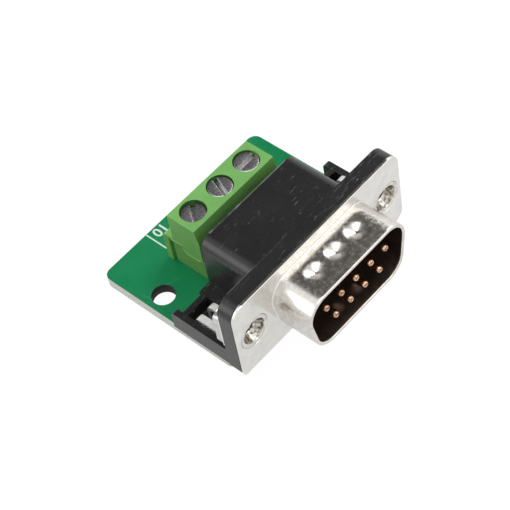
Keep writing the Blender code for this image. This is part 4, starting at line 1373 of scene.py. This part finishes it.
    def build(self) -> None:
        """Make the board and everything that is soldered or printed on it."""
        hand_over(self.laminate(), Slot.MASK, "board")
        hand_over(self.tracks(), Slot.MASK)
        hand_over(self.pads(), Slot.TIN)
        hand_over(self.legend(), Slot.MASK)
        for node, centre in self.joints().items():
            hand_over(self.solder(node, centre), Slot.TIN, node)


@dataclass(frozen=True)
class Card:
    """A round card in front of the studio's white walls, as polished metal shows it."""

    towards: Triple
    half_width: float
    blur: float
    glow: Colour


@dataclass(frozen=True)
class Lamp:
    """A large square lamp that faces the part."""

    name: str
    place: Triple
    size: float
    power: float


@dataclass(frozen=True)
class Studio:
    """The camera at the photograph's place, a pale floor, a soft sky and large lamps."""

    camera_place: Triple = (-84.58 * MM, -100.77 * MM, 171.30 * MM)
    camera_turn: Triple = (37.617, 7.288, -48.624)
    lens: float = 118.03
    sensor: float = 36.0
    floor_size: float = 6.0
    floor_white: Colour = (0.5, 0.5, 0.5)
    floor_glow: float = 1.065
    floor_share: float = 0.92
    mirrored_share: float = 0.66
    ambient: Colour = (0.62, 0.62, 0.62)
    walls: Colour = (1.0, 1.0, 1.0)
    eye_white: Colour = (1.0, 1.0, 1.0)
    cards: tuple[Card, ...] = (
        Card((-0.78, 0.48, 0.4), 14.0, 9.0, (3.0, 3.0, 3.0)),
        Card((0.404, -0.481, 0.778), 16.0, 10.0, (1.8, 1.8, 1.78)),
        Card((0.404, 0.481, 0.778), 23.0, 12.0, (0.075, 0.07, 0.066)),
    )
    lamps: tuple[Lamp, ...] = (
        Lamp("overhead", (-0.05, -0.02, 0.6), 0.3, 0.95),
        Lamp("right", (0.45, 0.08, 0.39), 0.24, 0.8),
    )

    def camera(self) -> None:
        """Set up the camera."""
        data = bpy.data.cameras.new("camera")
        data.sensor_width = self.sensor
        data.lens = self.lens
        data.clip_start = 0.01
        data.clip_end = 20.0
        holder = add_object("camera", data)
        holder.location = self.camera_place
        holder.rotation_euler = [math.radians(angle) for angle in self.camera_turn]
        bpy.context.scene.camera = holder

    @staticmethod
    def seen(tree: Tree, kinds: Sequence[str]) -> Socket:
        """Return 1 for the kinds of ray that see the backdrop and 0 for the others."""
        path = tree.nodes.new("ShaderNodeLightPath")
        total = path.outputs[kinds[0]]
        for kind in kinds[1:]:
            total = combined(tree, "MAXIMUM", total, path.outputs[kind])
        return total

    def floor(self) -> None:
        """Lay the floor, white to the eye and in reflections, with a faint shadow."""
        form = Form()
        bmesh.ops.create_grid(form.mesh, x_segments=1, y_segments=1, size=self.floor_size / 2)
        material = bpy.data.materials.new("floor")
        material.use_nodes = True
        tree = material.node_tree
        paint = tree.nodes["Principled BSDF"]
        values = {"Base Color": self.floor_white, "Roughness": 0.9, "Specular IOR Level": 0.0}
        for name, value in values.items():
            feed(tree, paint.inputs[name], value)
        shares = [
            combined(tree, "MULTIPLY", self.seen(tree, kinds), amount)
            for kinds, amount in ((DIRECT_RAYS, self.floor_share), (MIRRORED_RAYS, self.mirrored_share))
        ]
        glow = add_node(tree, "Emission", {"Strength": self.floor_glow})
        either = combined(tree, "MAXIMUM", *shares)
        inputs = {"Fac": either, 1: paint.outputs["BSDF"], 2: glow.outputs["Emission"]}
        mix = add_node(tree, "MixShader", inputs)
        feed(tree, tree.nodes["Material Output"].inputs["Surface"], mix.outputs["Shader"])
        form.finish("floor", [material])

    def sky(self) -> None:
        """Paint the walls as metal shows them, with an even dim light otherwise and white to the eye."""
        world = bpy.data.worlds.new("studio")
        bpy.context.scene.world = world
        world.use_nodes = True
        tree = world.node_tree
        direction = tree.nodes.new("ShaderNodeTexCoord").outputs["Generated"]
        room = self.walls
        for card in self.cards:
            inputs = {0: direction, 1: Vector(card.towards).normalized()}
            facing = add_node(tree, "VectorMath", inputs, operation="DOT_PRODUCT")
            rim, core = (math.cos(math.radians(a)) for a in (card.half_width + card.blur, card.half_width))
            inputs = {"Value": facing.outputs["Value"], "From Min": rim, "From Max": core}
            edge = add_node(tree, "MapRange", inputs, interpolation_type="SMOOTHSTEP")
            room = mixed(tree, edge.outputs["Result"], room, card.glow)
        shown = mixed(tree, self.seen(tree, MIRRORED_RAYS), self.ambient, room)
        seen = mixed(tree, self.seen(tree, DIRECT_RAYS), shown, self.eye_white)
        feed(tree, tree.nodes["Background"].inputs["Color"], seen)

    @staticmethod
    def hang(lamp: Lamp) -> None:
        """Hang one lamp and turn it to the part."""
        data = bpy.data.lights.new(lamp.name, "AREA")
        data.shape = "SQUARE"
        data.size = lamp.size
        data.energy = lamp.power
        holder = add_object(lamp.name, data)
        holder.location = lamp.place
        holder.rotation_euler = (-Vector(lamp.place)).to_track_quat("-Z", "Y").to_euler()

    def build(self) -> None:
        """Make the whole studio."""
        self.camera()
        self.floor()
        self.sky()
        for lamp in self.lamps:
            self.hang(lamp)
        bpy.context.scene.view_settings.view_transform = "Standard"


def main() -> None:
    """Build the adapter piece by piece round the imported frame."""
    logging.basicConfig(level=logging.INFO, format="%(message)s")
    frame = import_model()
    finishes = Finishes()
    for assembly in (Plug, Bracket, TerminalBlock, CircuitBoard):
        assembly(frame, finishes).build()
        LOG.info("%s is built", assembly.__name__)
    Studio().build()


if __name__ == "__main__":
    main()
